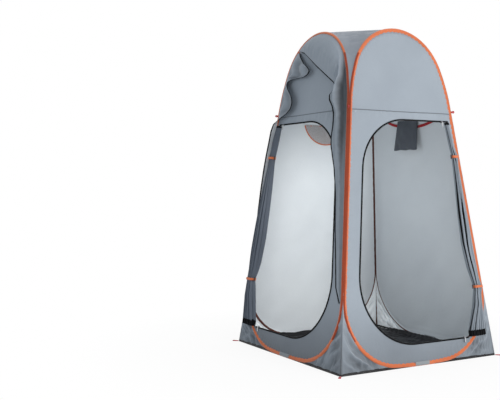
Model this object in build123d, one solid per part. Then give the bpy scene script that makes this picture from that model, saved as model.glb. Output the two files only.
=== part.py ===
from build123d import *
import math
import os

# Overall form: four leaning walls on a square base, each a cloth panel inside a sprung hoop
half_base = 600.0          # half the side of the square where the wall planes meet the ground
apex_height = 4710.0       # height at which the four leaning wall planes would meet
cloth = 1.2                # thickness of every cloth sheet
sew_gap = 0.3              # space left at a sewn seat between two pieces

# Hoops: a round spring wire in a flat binding sleeve, closed at the bottom by a ferrule under a patch
hoop_top = 2058.0          # hoop line's highest point, measured up the wall
bottom_radius = 2850.0     # long bow along the ground
corner_radius = 368.0      # lower corners
shoulder_drop = 468.0      # from the hoop's top down to where its straight sides start to bend in
crown_share = 0.896        # radius of the round top, as a share of the half-width at the shoulders
hoop_side_gap = 4.0        # from a corner seam to the sleeve's outer edge
sleeve_width = 20.0
sleeve_thickness = 6.0
wire_diameter = 4.0
wire_clearance = 0.25      # round the wire in its sleeve
wire_edge = 5.0            # from the wire's middle to the sleeve's outer edge
wire_end_gap = 1.0         # between the two wire ends inside the ferrule
ferrule_length = 60.0
ferrule_wall = 1.2
ferrule_clearance = 0.08
patch_length = 110.0
patch_width = 23.0
patch_thickness = 10.0

# Corner gussets and groundsheet
gusset_top = 470.0         # height up the wall of a gusset's upper tip
gusset_start = 220.0       # where a gusset starts, from the wall's middle
corner_lift = 20.0         # height of the groundsheet's turned-up hem at a corner
corner_gap = 1.0           # from a corner seam to a gusset's edge

# D-shaped doors, with the sewn edge along the hoop's side
door_top = 1495.0
door_bottom = 132.0
door_edge_gap = 112.0      # from the far corner seam to the door's free side
door_top_radius = 345.0
door_bottom_radius = 385.0
door_hinge_strip = 14.0    # cloth left between the sleeve and the door's sewn edge

# Zips: tape sewn outside the panel, coil on the tape's free edge, sliders with hinged pulls
tape_outside = 8.0         # tape lying on the panel
tape_inside = 6.0          # tape reaching into the opening
tape_thickness = 1.0
coil_width = 3.0
coil_height = 3.0
zip_end_gap = 4.0          # from the zip's ends to the door's sewn edge
slider_length = 13.0
slider_wall = 2.4
slider_clearance = 0.4
slider_top_inset = 98.9    # from the corner seam beside the door's sewn edge
slider_bottom_inset = 231.3
ear_thickness = 1.4
pull_pin_diameter = 2.0
pull_pin_clearance = 0.3
pull_eye_diameter = 5.6
pull_length = 30.0
pull_width = 8.0
pull_thickness = 1.6

# Gathered doors, tied at two straps
upper_strap = 1268.0       # strap heights up the wall
lower_strap = 443.0
strap_width = 16.0
strap_thickness = 1.2
strap_slack = 0.4          # between the strap and the cloth that it holds
strap_tail = 24.0          # end of the strap, sewn on the sleeve's face
neck_diameter = 3.0        # cord neck that carries a toggle
neck_end = 1.0             # neck standing out past its toggle
toggle_diameter = 7.0
toggle_length = 26.0
toggle_clearance = 0.3
strap_room = toggle_length + 4.0   # straight stretch of the gathered cloth under a strap
bundle_top_gap = 17.0      # from the door's top down to the gathered cloth
bundle_bottom_gap = 36.0   # from the door's bottom up to the gathered cloth
on_panel = cloth / 2 + sew_gap                       # back of cloth sewn on the panel
over_strap = cloth / 2 + 2 * sew_gap + strap_thickness + strap_slack
over_sleeve = sleeve_thickness / 2 + 2 * sew_gap + strap_slack
bundle_top = door_top - bundle_top_gap
bundle_bottom = door_bottom + bundle_bottom_gap
above_strap = upper_strap + strap_room / 2
below_strap = upper_strap - strap_room / 2
above_low_strap = lower_strap + strap_room / 2
below_low_strap = lower_strap - strap_room / 2


def between(low, high, share):
    return low + share * (high - low)


# Height up the wall, reach in from the corner seam to the inner and the outer edge, depth, back
bundle_stations = [
    (bundle_top, 82.0, 40.0, 22.0, on_panel),
    (between(above_strap, bundle_top, 0.5), 80.0, 34.0, 30.0, on_panel),
    (above_strap, 74.0, 30.0, 26.0, over_strap),
    (below_strap, 74.0, 30.0, 26.0, over_strap),
    (between(above_low_strap, below_strap, 0.81), 88.0, 29.0, 36.0, on_panel),
    (between(above_low_strap, below_strap, 0.56), 112.0, 29.0, 44.0, on_panel),
    (between(above_low_strap, below_strap, 0.33), 128.0, 29.0, 46.0, on_panel),
    (between(above_low_strap, below_strap, 0.13), 118.0, 29.0, 42.0, on_panel),
    (above_low_strap, 92.0, 30.0, 32.0, over_strap),
    (below_low_strap, 92.0, 30.0, 32.0, over_strap),
    (between(bundle_bottom, below_low_strap, 0.62), 128.0, 44.0, 40.0, over_sleeve),
    (bundle_bottom, 205.0, 78.0, 34.0, over_sleeve),
]
cloth_swell = 0.3          # swell of a fold, as a share of its chord
neck_share = 0.45          # height of a toggle's neck on the gathered cloth's side
left_bundle_depth = 1.35   # the left door is gathered together with its outer cover

# Left wall's outer cover, sewn along the hoop: side of the hoop, height as a share of the hoop's
# height, reach, rise and how far the cross-section bows out
hood_stations = [
    (-1, 0.9645, 14.0, 6.0, 2.0),
    (-1, 0.9893, 105.0, 24.0, 12.0),
    (1, 0.999, 178.0, 44.0, 20.0),
    (1, 0.9718, 205.0, 60.0, 22.0),
    (1, 0.9232, 200.0, 62.0, 20.0),
    (1, 0.8649, 160.0, 50.0, 6.0),
]
surround_stations = [
    (1, 0.8646, 160.0, 50.0, 6.0),
    (1, 0.7969, 132.0, 42.0, -8.0),
    (1, 0.7046, 118.0, 36.0, -9.0),
    (1, 0.5345, 92.0, 28.0, -7.0),
    (1, 0.3401, 66.0, 20.0, -5.0),
    (1, 0.2089, 24.0, 6.0, 2.0),
]
flap_stations = [
    (-1, 0.9582, 14.0, 6.0, 2.0),
    (-1, 0.9354, 100.0, 34.0, 12.0),
    (-1, 0.8989, 240.0, 66.0, 26.0),
    (-1, 0.8746, 190.0, 40.0, 20.0),
    (-1, 0.8576, 60.0, 14.0, 7.0),
    (-1, 0.826, 110.0, 40.0, 13.0),
    (-1, 0.7969, 140.0, 52.0, 16.0),
    (-1, 0.7677, 110.0, 36.0, 13.0),
    (-1, 0.7386, 60.0, 30.0, 7.0),
]
cover_zip_width = 9.0
cover_zip_thickness = 1.6

# Roof between the arches
roof_gap = 0.4             # from the sleeve's outer edge to the roof cloth
roof_split_gap = 0.3       # between the two roof halves along their diagonal seam

# Hanging pocket inside the right wall and half-round mesh pocket inside the back wall
pocket_width = 205.0
pocket_height = 200.0
pocket_thickness = 4.0
pocket_top = 1535.0
pocket_middle = 20.0
pocket_strap_width = 18.0
pocket_strap_ends = [(-62.0, 1486.0, -250.0, 1522.0), (96.0, 1500.0, 232.0, 1534.0)]
mesh_top = 1515.0
mesh_half_width = 190.0
mesh_drop = 145.0
mesh_thickness = 1.6
mesh_binding = 9.0
mesh_binding_thickness = 3.0

# Webbing loops: peg loops on the ground at the base corners, guy loops on the corner seams
peg_loop_length = 44.0
peg_loop_width = 18.0
peg_loop_thickness = 2.6
peg_loop_gap = 0.9         # from the groundsheet's corner to the loop's sewn end
guy_loop_drop = 30.0       # from the hoop's shoulders down to the loop
guy_loop_length = 26.0
guy_loop_width = 16.0
guy_loop_thickness = 3.0
loop_turn = 4.0            # width of the webbing round a loop's eye
loop_end = 2.0             # width of a loop's sewn end
loop_fork = 1.0            # radius where the two sides of a loop part

# Slopes worked out from the base and the apex
slope = math.hypot(apex_height, half_base)
lean = math.atan2(half_base, apex_height)
side_angle = math.atan2(half_base, slope)
side_cos, side_sin = math.cos(side_angle), math.sin(side_angle)
turns = {"front": 0.0, "right": 90.0, "back": 180.0, "left": 270.0}
wall_plane = Plane(
    origin=(0, -half_base, 0), x_dir=(1, 0, 0), z_dir=(0, -math.cos(lean), math.sin(lean))
)

# Hoop line: the sides run parallel to the corner seams and arcs close it at the ground and the top
foot = cloth + 2 * sew_gap   # lower edge of what stands on the groundsheet, up the wall
hoop_bottom = foot + patch_width / 2
side_reach = half_base * side_cos - hoop_side_gap - sleeve_width / 2
bow_turn = side_angle + math.asin(
    (side_reach - corner_radius - (hoop_bottom + bottom_radius) * side_sin)
    / (bottom_radius - corner_radius)
)
bow_middle = Vector(0, hoop_bottom + bottom_radius)
corner_middle = bow_middle + (bottom_radius - corner_radius) * Vector(
    math.sin(bow_turn), -math.cos(bow_turn)
)


def seam_reach(height, gap=0.0):
    """Distance from the wall's middle line to a line parallel to the corner seam."""
    return half_base - (gap + height * side_sin) / side_cos


def side_point(height):
    return Vector(seam_reach(height, hoop_side_gap + sleeve_width / 2), height)


def polar(middle, radius, degrees):
    angle = math.radians(degrees)
    return middle + radius * Vector(math.cos(angle), math.sin(angle))


shoulder_height = hoop_top - shoulder_drop
crown_radius = crown_share * side_point(shoulder_height).X
crown_middle = Vector(0, hoop_top - crown_radius)
shoulder_way = side_point(shoulder_height) - crown_middle
side_out = Vector(side_cos, side_sin)
shoulder_radius = (shoulder_way.dot(shoulder_way) - crown_radius**2) / (
    2 * (shoulder_way.dot(side_out) - crown_radius)
)
shoulder_middle = side_point(shoulder_height) - shoulder_radius * side_out
crown_way = crown_middle - shoulder_middle
crown_turn = math.atan2(crown_way.X, crown_way.Y)


def arc(middle, radius, start, end):
    points = [polar(middle, radius, a) for a in (start, (start + end) / 2, end)]
    return Edge.make_three_point_arc(*points)


def hoop_edges(offset=0.0, opening=0.0):
    """Edges of a line parallel to the hoop, from the right of the bottom opening round to its left."""
    first = -90 + math.degrees(math.asin(opening / 2 / (bottom_radius + offset)))
    bow_end = -90 + math.degrees(bow_turn)
    side = math.degrees(side_angle)
    crown_start = 90 - math.degrees(crown_turn)
    foot = polar(corner_middle, corner_radius + offset, side)
    shoulder = polar(shoulder_middle, shoulder_radius + offset, side)
    right = [
        arc(bow_middle, bottom_radius + offset, first, bow_end),
        arc(corner_middle, corner_radius + offset, bow_end, side),
        Edge.make_line(foot, shoulder),
        arc(shoulder_middle, shoulder_radius + offset, side, crown_start),
        arc(crown_middle, crown_radius + offset, crown_start, 90),
    ]
    left = [edge.mirror(Plane.YZ) for edge in reversed(right)]
    return right + left


def hoop_region(offset):
    return make_face(hoop_edges(offset))


def hoop_point(side, height):
    """Point of the hoop line on one side above its lower corner, with the way out from it."""
    crown_start = polar(crown_middle, crown_radius, 90 - math.degrees(crown_turn)).Y
    if height <= shoulder_height:
        return Vector(side * side_point(height).X, height), Vector(side * side_cos, side_sin)
    middle, radius = crown_middle, crown_radius
    if height < crown_start:
        middle, radius = shoulder_middle, shoulder_radius
    rise = height - middle.Y
    out = Vector(math.sqrt(radius**2 - rise**2), rise) / radius
    point = middle + radius * out
    return Vector(side * point.X, point.Y), Vector(side * out.X, out.Y)


def sheet(region, back, thickness):
    """A flat sheet over a region of the wall, between two distances from the wall's middle plane."""
    return Pos(0, 0, back) * extrude(region, thickness)


def panel_sheet(region):
    return sheet(region, -cloth / 2, cloth)


def along_hoop(section, offset, opening):
    """Carry a section, drawn with X pointing out of the hoop, round the hoop."""
    path = Wire(hoop_edges(offset, opening))
    start = Plane(origin=path @ 0, x_dir=(path % 0).cross(Vector(0, 0, 1)), z_dir=path % 0)
    return sweep(start * section, path=path)


def bow_piece(section, offset, length):
    """Carry a section along a short middle stretch of the hoop's bottom bow."""
    half = math.degrees(math.asin(length / 2 / bottom_radius))
    path = arc(bow_middle, bottom_radius + offset, -90 - half, -90 + half)
    start = Plane(origin=path @ 0, x_dir=(path % 0).cross(Vector(0, 0, 1)), z_dir=path % 0)
    return sweep(start * section, path=path)


def hoop_pieces():
    wire_offset = sleeve_width / 2 - wire_edge
    wire = along_hoop(Circle(wire_diameter / 2), wire_offset, wire_end_gap)
    tunnel = Pos(wire_offset, 0) * Circle(wire_diameter / 2 + wire_clearance)
    sleeve = along_hoop(SlotOverall(sleeve_width, sleeve_thickness) - tunnel, 0.0, patch_length)
    bore = wire_diameter / 2 + ferrule_clearance
    tube = Circle(bore + ferrule_wall) - Circle(bore)
    ferrule = bow_piece(tube, wire_offset, ferrule_length)
    room = Pos(wire_offset, 0) * Circle(bore + ferrule_wall + wire_clearance)
    patch_section = SlotOverall(patch_width, patch_thickness) - room
    patch = bow_piece(patch_section, 0.0, patch_length - 2 * sew_gap)
    return {"hoop_wire": [wire, ferrule], "hoop_sleeve": [sleeve], "hoop_patch": [patch]}


def hem_height(reach):
    return corner_lift * reach / half_base


def both_sides(*corners):
    """Sheets outside the hoop over an outline at the right lower corner and its mirror image."""
    region = make_face(Polyline(*corners, close=True)) - hoop_region(sleeve_width / 2 + sew_gap)
    right = panel_sheet(region)
    return [right, mirror(right, Plane.YZ)]


def gussets():
    return both_sides(
        (gusset_start, hem_height(gusset_start)),
        (seam_reach(corner_lift, corner_gap), corner_lift),
        (seam_reach(gusset_top, corner_gap), gusset_top),
        (gusset_start, gusset_top),
    )


def hem():
    """Narrow hem of groundsheet cloth turned up under the gussets."""
    top = corner_lift - sew_gap
    return both_sides(
        (gusset_start, foot),
        (seam_reach(foot, corner_gap), foot),
        (seam_reach(top, corner_gap), top),
        (gusset_start, hem_height(gusset_start) - sew_gap),
    )


def panel_region():
    """Cloth up to the sleeve's inner edge and the patch's."""
    under_patch = Pos(0, hoop_bottom) * Rectangle(patch_length, 2 * patch_width)
    under_patch -= hoop_region(-patch_width / 2 - sew_gap)
    return hoop_region(-sleeve_width / 2 - sew_gap) - under_patch


# Doors, drawn with the sewn edge on the right as seen from outside
hinge_offset = -(sleeve_width / 2 + door_hinge_strip)
coil_place = tape_inside - coil_width / 2


def door_blob(inset):
    """The door's outline moved inwards all round its free edge, running past its sewn edge."""
    low, high = door_bottom + inset, door_top - inset
    gap = door_edge_gap + inset
    outline = Polyline(
        (-seam_reach(low, gap), low),
        (half_base, low),
        (half_base, high),
        (-seam_reach(high, gap), high),
        close=True,
    )
    region = make_face(outline)
    region = fillet(region.vertices().sort_by(Axis.X)[1], door_top_radius - inset)
    return fillet(region.vertices().sort_by(Axis.X)[0], door_bottom_radius - inset)


def door_opening():
    return door_blob(0.0) & hoop_region(hinge_offset)


def door_zip():
    reach = hoop_region(hinge_offset - zip_end_gap)
    tape = (door_blob(-tape_outside) - door_blob(tape_inside)) & reach
    coil = (door_blob(tape_inside - coil_width) - door_blob(tape_inside)) & reach
    return sheet(tape, on_panel, tape_thickness) + sheet(coil, on_panel, coil_height)


def block(low, high):
    size = [b - a for a, b in zip(low, high)]
    return Pos(*low) * Box(*size, align=(Align.MIN, Align.MIN, Align.MIN))


slider_low = on_panel - slider_clearance - slider_wall
slider_high = on_panel + coil_height + slider_clearance + slider_wall
pin_height = slider_high + pull_eye_diameter / 2 + slider_clearance
ear_reach = pull_width / 2 + slider_clearance


def zip_slider():
    """Slider round the coil, X along the zip and Y towards the tape, with ears for the pull's pin."""
    room = coil_width / 2 + slider_clearance
    half = slider_length / 2
    body = block((-half, -room - slider_wall, slider_low), (half, coil_place - sew_gap, slider_high))
    coil_room = block(
        (-slider_length, -room, on_panel - slider_clearance),
        (slider_length, room, on_panel + coil_height + slider_clearance),
    )
    tape_room = block(
        (-slider_length, 0, on_panel - slider_clearance),
        (slider_length, tape_inside, on_panel + tape_thickness + slider_clearance),
    )
    body = body - coil_room - tape_room
    for side in (-1, 1):
        place = side * (ear_reach + ear_thickness / 2)
        ear = Box(ear_thickness, pull_eye_diameter / 2, pin_height - slider_high + pull_pin_diameter)
        body += Pos(place, 0, (slider_high + pin_height + pull_pin_diameter) / 2) * ear
    pin_length = 2 * (ear_reach + ear_thickness)
    return body + Pos(0, 0, pin_height) * Rot(0, 90, 0) * Cylinder(pull_pin_diameter / 2, pin_length)


def zip_pull():
    """Pull tab hanging from the pin, its eye round the pin."""
    eye = Rot(0, 90, 0) * Cylinder(pull_eye_diameter / 2, pull_width)
    tab = extrude(SlotOverall(pull_length, pull_width, rotation=90), pull_thickness)
    tab = Pos(0, -pull_length / 2, -pull_thickness / 2) * tab
    bore = Rot(0, 90, 0) * Cylinder(pull_pin_diameter / 2 + pull_pin_clearance, 2 * pull_width)
    return Pos(0, 0, pin_height) * (eye + tab - bore)


def lobe(start, end):
    """Arc of well under half a circle that swells to the left of the way from start to end."""
    way = end - start
    middle = (start + end) / 2 + Vector(-way.Y, way.X) * cloth_swell
    return Edge.make_three_point_arc(start, middle, end)


def bundle_outline(inner, outer, depth, back):
    """Cross-section of gathered cloth: three soft folds outside, flat towards the wall."""
    width = outer - inner
    shares = [(0.0, 0.0), (0.3, 0.78), (0.68, 0.82), (1.0, 0.0)]
    points = [Vector(inner + across * width, back + out * depth) for across, out in shares]
    lobes = [lobe(points[i], points[i + 1]) for i in range(len(points) - 1)]
    return Wire(lobes + [Edge.make_line(points[-1], points[0])])


def level_plane(height):
    """Plane square to the wall's height, with X across the wall and Y pointing outwards."""
    return Plane(origin=(0, height, 0), x_dir=(1, 0, 0), z_dir=(0, -1, 0))


def station_outline(station, depth_gain):
    height, reach_in, reach_out, depth, back = station
    seam = seam_reach(height)
    return bundle_outline(seam - reach_in, seam - reach_out, depth * depth_gain, back)


def door_bundle(depth_gain):
    rings = [level_plane(s[0]) * station_outline(s, depth_gain) for s in bundle_stations]
    return Solid.make_loft(rings, True)


def tie(height, depth_gain):
    """Strap round the gathered door at one height, with its tail and toggle neck, and the toggle."""
    top = height + strap_width / 2
    _, reach_in, reach_out, depth, back = min(bundle_stations, key=lambda s: abs(s[0] - top))
    seam = seam_reach(top)
    held = make_face(bundle_outline(seam - reach_in, seam - reach_out, depth * depth_gain, back))
    inside = offset(held, strap_slack)
    band = offset(held, strap_slack + strap_thickness) - inside
    down = Vector(side_sin, -side_cos, 0)
    length = strap_width / side_cos
    strap = extrude(level_plane(top) * band, length, dir=down)
    core = extrude(level_plane(top + strap_width) * inside, 3 * length, dir=down)
    core = Pos(-strap_width * side_sin / side_cos, 0, 0) * core
    edge = band.bounding_box()
    rise = back + depth * depth_gain * neck_share
    toggle_place = edge.min.X - toggle_clearance - toggle_diameter / 2
    neck_start = edge.min.X + (edge.max.X - edge.min.X) / 3
    neck_length = neck_start - toggle_place + toggle_diameter / 2 + neck_end
    neck = Pos(neck_start - neck_length / 2, height, rise) * Rot(0, 90, 0) * Cylinder(
        neck_diameter / 2, neck_length
    )
    tail_back = sleeve_thickness / 2 + sew_gap
    tail = block(
        (seam - reach_out - strap_thickness, height - strap_width / 2, tail_back),
        (seam - reach_out + strap_tail, height + strap_width / 2, tail_back + strap_thickness),
    )
    strap = strap + (neck - core) + (tail - core)
    toggle = Rot(90, 0, 0) * Cylinder(toggle_diameter / 2, toggle_length)
    toggle -= Rot(0, 90, 0) * Cylinder(neck_diameter / 2 + toggle_clearance, 2 * toggle_diameter)
    return strap, Pos(toggle_place, height, rise) * toggle


# Left wall's outer cover: cloth sewn on the sleeve's face that stands out towards its free edge
cover_back = sleeve_thickness / 2 + sew_gap


def cover_plane(side, height):
    """Plane square to the hoop line, with X pointing into the hoop and Y out of the wall."""
    foot, out = hoop_point(side, height)
    return Plane(origin=foot, x_dir=-out, z_dir=(-out).cross(Vector(0, 0, 1)))


def cover_section(reach, rise, bow_out):
    """Thin bowed strip from the hoop line to the cover's free edge."""
    bow = Vector(reach / 2, cover_back + rise / 2 + bow_out)
    start, end = Vector(0, cover_back), Vector(reach, cover_back + rise)
    up = Vector(0, cloth)
    return Wire(
        [
            Edge.make_three_point_arc(start, bow, end),
            Edge.make_line(end, end + up),
            Edge.make_three_point_arc(end + up, bow + up, start + up),
            Edge.make_line(start + up, start),
        ]
    )


def cover_zip_section(reach, rise, _):
    start = Vector(reach + sew_gap, cover_back + rise)
    across, up = Vector(cover_zip_width, 0), Vector(0, cover_zip_thickness)
    return Wire.make_polygon([start, start + up, start + across + up, start + across])


def cover_loft(stations, section):
    rings = []
    for side, height_share, reach, rise, bow_out in stations:
        rings.append(cover_plane(side, height_share * hoop_top) * section(reach, rise, bow_out))
    strips = [Solid.make_loft([rings[i], rings[i + 1]], True) for i in range(len(rings) - 1)]
    return strips[0].fuse(*strips[1:])


# Whole tent
def on_wall(wall, shape):
    return Rot(0, 0, turns[wall]) * wall_plane.location * shape


def square(reach, height):
    ways = [(-1, -1), (1, -1), (1, 1), (-1, 1)]
    return Wire.make_polygon([(across * reach, along * reach, height) for across, along in ways])


def seam_half_side(height):
    """Half the tent's width between the wall planes at a height above the ground."""
    return half_base * (1 - height / apex_height)


def roof():
    """Cloth stretched level between neighbouring arches, closed by a flat square over their tops."""
    low = sleeve_width / 2 + roof_gap
    band = hoop_region(low + cloth) - hoop_region(low)
    shoulder = Pos(0, shoulder_height) * Rectangle(
        half_base, hoop_top, align=(Align.MAX, Align.MIN)
    )
    across = Vector(-1, 1, 0).normalized()
    corner = extrude(on_wall("front", band & shoulder), 2 * half_base, dir=across)
    middle = apex_height / 2
    inside = Solid.make_loft([square(half_base, 0), square(seam_half_side(middle), middle)])
    corner = corner & inside
    crown_low = (hoop_top + low) * math.cos(lean)
    crown_side = math.sqrt(2) * seam_half_side(crown_low) + cloth
    crown = extrude(Rot(0, 0, 45) * Rectangle(crown_side, crown_side), cloth * math.cos(lean))
    whole = Pos(0, 0, crown_low) * crown
    for turn in turns.values():
        whole += Rot(0, 0, turn) * corner
    half_space = Pos(roof_split_gap / 2, 0, 0) * Box(
        2 * half_base, 4 * half_base, apex_height, align=(Align.MIN, Align.CENTER, Align.MIN)
    )
    return whole & Rot(0, 0, 225) * half_space, whole & Rot(0, 0, 45) * half_space


def groundsheet():
    reach = 2 * half_base + cloth
    return Pos(0, 0, cloth / 2) * Box(reach, reach, cloth)


def hanging_pocket():
    pouch = block(
        (-pocket_width / 2, -pocket_height, -pocket_thickness), (pocket_width / 2, 0, 0)
    )
    return Pos(pocket_middle, pocket_top, -on_panel) * Rot(math.degrees(lean), 0, 0) * pouch


def pocket_straps():
    straps = []
    for start_x, start_y, end_x, end_y in pocket_strap_ends:
        line = Line((start_x, start_y), (end_x, end_y))
        turn = math.degrees(math.atan2(end_y - start_y, end_x - start_x))
        region = Pos(line @ 0.5) * Rot(0, 0, turn) * Rectangle(line.length, pocket_strap_width)
        straps.append(sheet(region, -on_panel - cloth, cloth))
    return straps


def mesh_pocket():
    """Half-round pocket with a bound edge, flat against the panel's inside."""
    left, right = (-mesh_half_width, mesh_top), (mesh_half_width, mesh_top)
    bowl = ThreePointArc(left, (0, mesh_top - mesh_drop), right)
    region = make_face([Line(right, left), bowl])
    binding = region - offset(region, -mesh_binding)
    net = offset(region, -mesh_binding - sew_gap)
    bound = sheet(binding, -on_panel - mesh_binding_thickness, mesh_binding_thickness)
    return sheet(net, -on_panel - mesh_thickness, mesh_thickness), bound


def teardrop(start, start_radius, end, end_radius):
    """Outline round a small and a larger circle on the X axis."""
    turn = math.asin((end_radius - start_radius) / (end - start))
    corners = []
    for place, radius, side in ((start, start_radius, 1), (end, end_radius, 1),
                                (end, end_radius, -1), (start, start_radius, -1)):
        corners.append((place - radius * math.sin(turn), side * radius * math.cos(turn)))
    sides = make_face(Polyline(*corners, close=True))
    return sides + Pos(start, 0) * Circle(start_radius) + Pos(end, 0) * Circle(end_radius)


def loop(length, width, thickness):
    """Flat webbing loop from its narrow sewn end at the origin out along X."""
    end = length - width / 2
    ring = teardrop(loop_end / 2, loop_end / 2, end, width / 2)
    ring -= teardrop(loop_end + 2 * loop_fork, loop_fork, end, width / 2 - loop_turn)
    return Pos(0, 0, -thickness / 2) * extrude(ring, thickness)


def peg_loop(turn):
    place = math.sqrt(2) * (half_base + cloth / 2) + peg_loop_gap
    webbing = loop(peg_loop_length, peg_loop_width, peg_loop_thickness)
    return Rot(0, 0, turn) * Pos(place, 0, peg_loop_thickness / 2 + sew_gap) * webbing


def guy_loop(turn):
    """Loop standing in the corner's diagonal plane, its sewn end between the two sleeves."""
    height = (shoulder_height - guy_loop_drop) * math.cos(lean)
    inset = (hoop_side_gap + sleeve_thickness / 2) / math.sqrt(2)
    place = math.sqrt(2) * seam_half_side(height) - inset
    webbing = loop(guy_loop_length, guy_loop_width, guy_loop_thickness)
    return Rot(0, 0, turn) * Pos(place, 0, height) * Rot(90, 0, 0) * webbing


nodes = {}


def add(name, *shapes):
    solids = [solid for shape in shapes for solid in shape.solids()]
    nodes[name] = Compound(solids)


def add_door(wall, depth_gain, flip):
    """Zip, sliders, pulls, gathered door, straps and toggles of one door."""

    def put(name, *shapes):
        if flip:
            shapes = [mirror(shape, Plane.YZ) for shape in shapes]
        add(f"{wall}_{name}", *[on_wall(wall, shape) for shape in shapes])

    put("door_zip", door_zip())
    top_place = seam_reach(door_top) - slider_top_inset
    bottom_place = seam_reach(door_bottom) - slider_bottom_inset
    top = Pos(top_place, door_top - coil_place, 0)
    bottom = Pos(bottom_place, door_bottom + coil_place, 0)
    put("zip_slider_top", top * zip_slider())
    put("zip_slider_bottom", bottom * mirror(zip_slider(), Plane.XZ))
    put("zip_pull_top", top * zip_pull())
    put("zip_pull_bottom", bottom * zip_pull())
    put("door_bundle", door_bundle(depth_gain))
    upper, upper_toggle = tie(upper_strap, depth_gain)
    lower, lower_toggle = tie(lower_strap, depth_gain)
    put("tie_straps", upper, lower)
    put("toggle_upper", upper_toggle)
    put("toggle_lower", lower_toggle)


for wall in turns:
    for name, shapes in hoop_pieces().items():
        add(f"{wall}_{name}", *[on_wall(wall, shape) for shape in shapes])
    add(f"{wall}_gussets", *[on_wall(wall, shape) for shape in gussets()])
    add(f"{wall}_hem", *[on_wall(wall, shape) for shape in hem()])

plain_panel = panel_sheet(panel_region())
door_panel = panel_sheet(panel_region() - door_opening())
add("right_wall_panel", on_wall("right", plain_panel))
add("back_wall_panel", on_wall("back", plain_panel))
add("front_wall_panel", on_wall("front", door_panel))
add("left_wall_panel", on_wall("left", mirror(door_panel, Plane.YZ)))
add_door("front", 1.0, flip=False)
add_door("left", left_bundle_depth, flip=True)

zip_stations = hood_stations + surround_stations[1:]
add("left_cover_hood", on_wall("left", cover_loft(hood_stations, cover_section)))
add("left_cover_surround", on_wall("left", cover_loft(surround_stations, cover_section)))
add("left_cover_zip", on_wall("left", cover_loft(zip_stations, cover_zip_section)))
add("left_cover_flap", on_wall("left", cover_loft(flap_stations, cover_section)))

roof_front, roof_back = roof()
add("roof_front_half", roof_front)
add("roof_back_half", roof_back)
add("groundsheet", groundsheet())

add("hanging_pocket", on_wall("right", hanging_pocket()))
add("pocket_straps", *[on_wall("right", shape) for shape in pocket_straps()])
net, binding = mesh_pocket()
add("mesh_pocket", on_wall("back", net))
add("mesh_pocket_binding", on_wall("back", binding))

corners = {"front_left": 225.0, "front_right": 315.0, "back_right": 45.0, "back_left": 135.0}
for corner, turn in corners.items():
    add(f"peg_loop_{corner}", peg_loop(turn))
add("front_guy_loops", guy_loop(corners["front_left"]), guy_loop(corners["front_right"]))
add("back_guy_loops", guy_loop(corners["back_left"]), guy_loop(corners["back_right"]))

os.makedirs("parts", exist_ok=True)
for name, shape in nodes.items():
    export_step(shape, f"parts/{name}.step")
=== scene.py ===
import math
import bmesh
import bpy
import numpy as np
from mathutils import Matrix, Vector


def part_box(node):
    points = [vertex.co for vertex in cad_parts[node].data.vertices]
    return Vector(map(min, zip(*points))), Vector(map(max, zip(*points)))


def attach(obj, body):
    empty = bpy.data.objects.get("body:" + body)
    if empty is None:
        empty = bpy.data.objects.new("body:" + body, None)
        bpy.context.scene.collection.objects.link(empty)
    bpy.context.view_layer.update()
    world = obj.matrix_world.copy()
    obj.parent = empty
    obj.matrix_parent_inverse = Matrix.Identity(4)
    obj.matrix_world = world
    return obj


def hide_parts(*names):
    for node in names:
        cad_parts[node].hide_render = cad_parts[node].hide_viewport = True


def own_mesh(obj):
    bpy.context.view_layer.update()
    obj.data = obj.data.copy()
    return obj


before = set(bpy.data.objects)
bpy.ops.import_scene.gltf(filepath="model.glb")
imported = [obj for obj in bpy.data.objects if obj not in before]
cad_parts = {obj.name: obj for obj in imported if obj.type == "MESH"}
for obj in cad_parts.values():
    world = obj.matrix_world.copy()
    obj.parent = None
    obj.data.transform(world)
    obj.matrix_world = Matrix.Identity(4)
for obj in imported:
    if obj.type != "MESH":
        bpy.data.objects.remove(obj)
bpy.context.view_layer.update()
print("frame loaded:", len(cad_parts), "nodes")

# metres, as in the frame
tent = dict(
    halfBase=0.600, apexHeight=4.710,      # wall planes on the ground, and where they would meet
    hoopTop=2.058, shoulderDrop=0.468, crownShare=0.896,
    bottomRadius=2.850, cornerRadius=0.368, hoopBottom=0.0133,
    sideGap=0.004, sleeveWidth=0.020, cloth=0.0012, onPanel=0.0009,
)
walls = {"front": 0.0, "right": 90.0, "back": 180.0, "left": 270.0}
wallBody = {"front": "front", "right": "right_wall", "back": "back_wall", "left": "left_wall"}
middle = np.array([0.0, 0.0, 1.0])         # a point inside, to tell outside from inside and to aim lamps at

lean = math.atan2(tent["halfBase"], tent["apexHeight"])
sideAngle = math.atan2(tent["halfBase"], math.hypot(tent["apexHeight"], tent["halfBase"]))
sideSin, sideCos = math.sin(sideAngle), math.cos(sideAngle)


# arrays spread to one shape and stacked along a new last axis
def stacked(*parts):
    return np.stack(np.broadcast_arrays(*parts), -1)


# held between nought and one
def clamp(x):
    return np.clip(x, 0, 1)


# half a sine wave: nought at both ends and one half way
def halfWave(t):
    return np.sin(math.pi * t)


# a cosine or sine made squarer
def blunt(x, power):
    return np.sign(x) * np.abs(x) ** power


# angles evenly spaced round a section
def roundAngles(count):
    return np.linspace(0, 2 * math.pi, count, endpoint=False)


# unit ways along a closed line
def tangents(line):
    way = np.roll(line, -1, 0) - np.roll(line, 1, 0)
    return way / np.linalg.norm(way, axis=1, keepdims=True)


# a place on a wall (across, up, out): lean the wall in, then turn it round the tent
def onWall(wall, u, v, w):
    turn = math.radians(walls[wall])
    y = -tent["halfBase"] + v * math.sin(lean) - w * math.cos(lean)
    z = v * math.cos(lean) + w * math.sin(lean)
    return stacked(u * math.cos(turn) - y * math.sin(turn), u * math.sin(turn) + y * math.cos(turn), z)


# half the wall's width at a height, less a gap kept from the corner seam
def seamReach(v, gap=0.0):
    return tent["halfBase"] - (gap + v * sideSin) / sideCos


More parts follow.
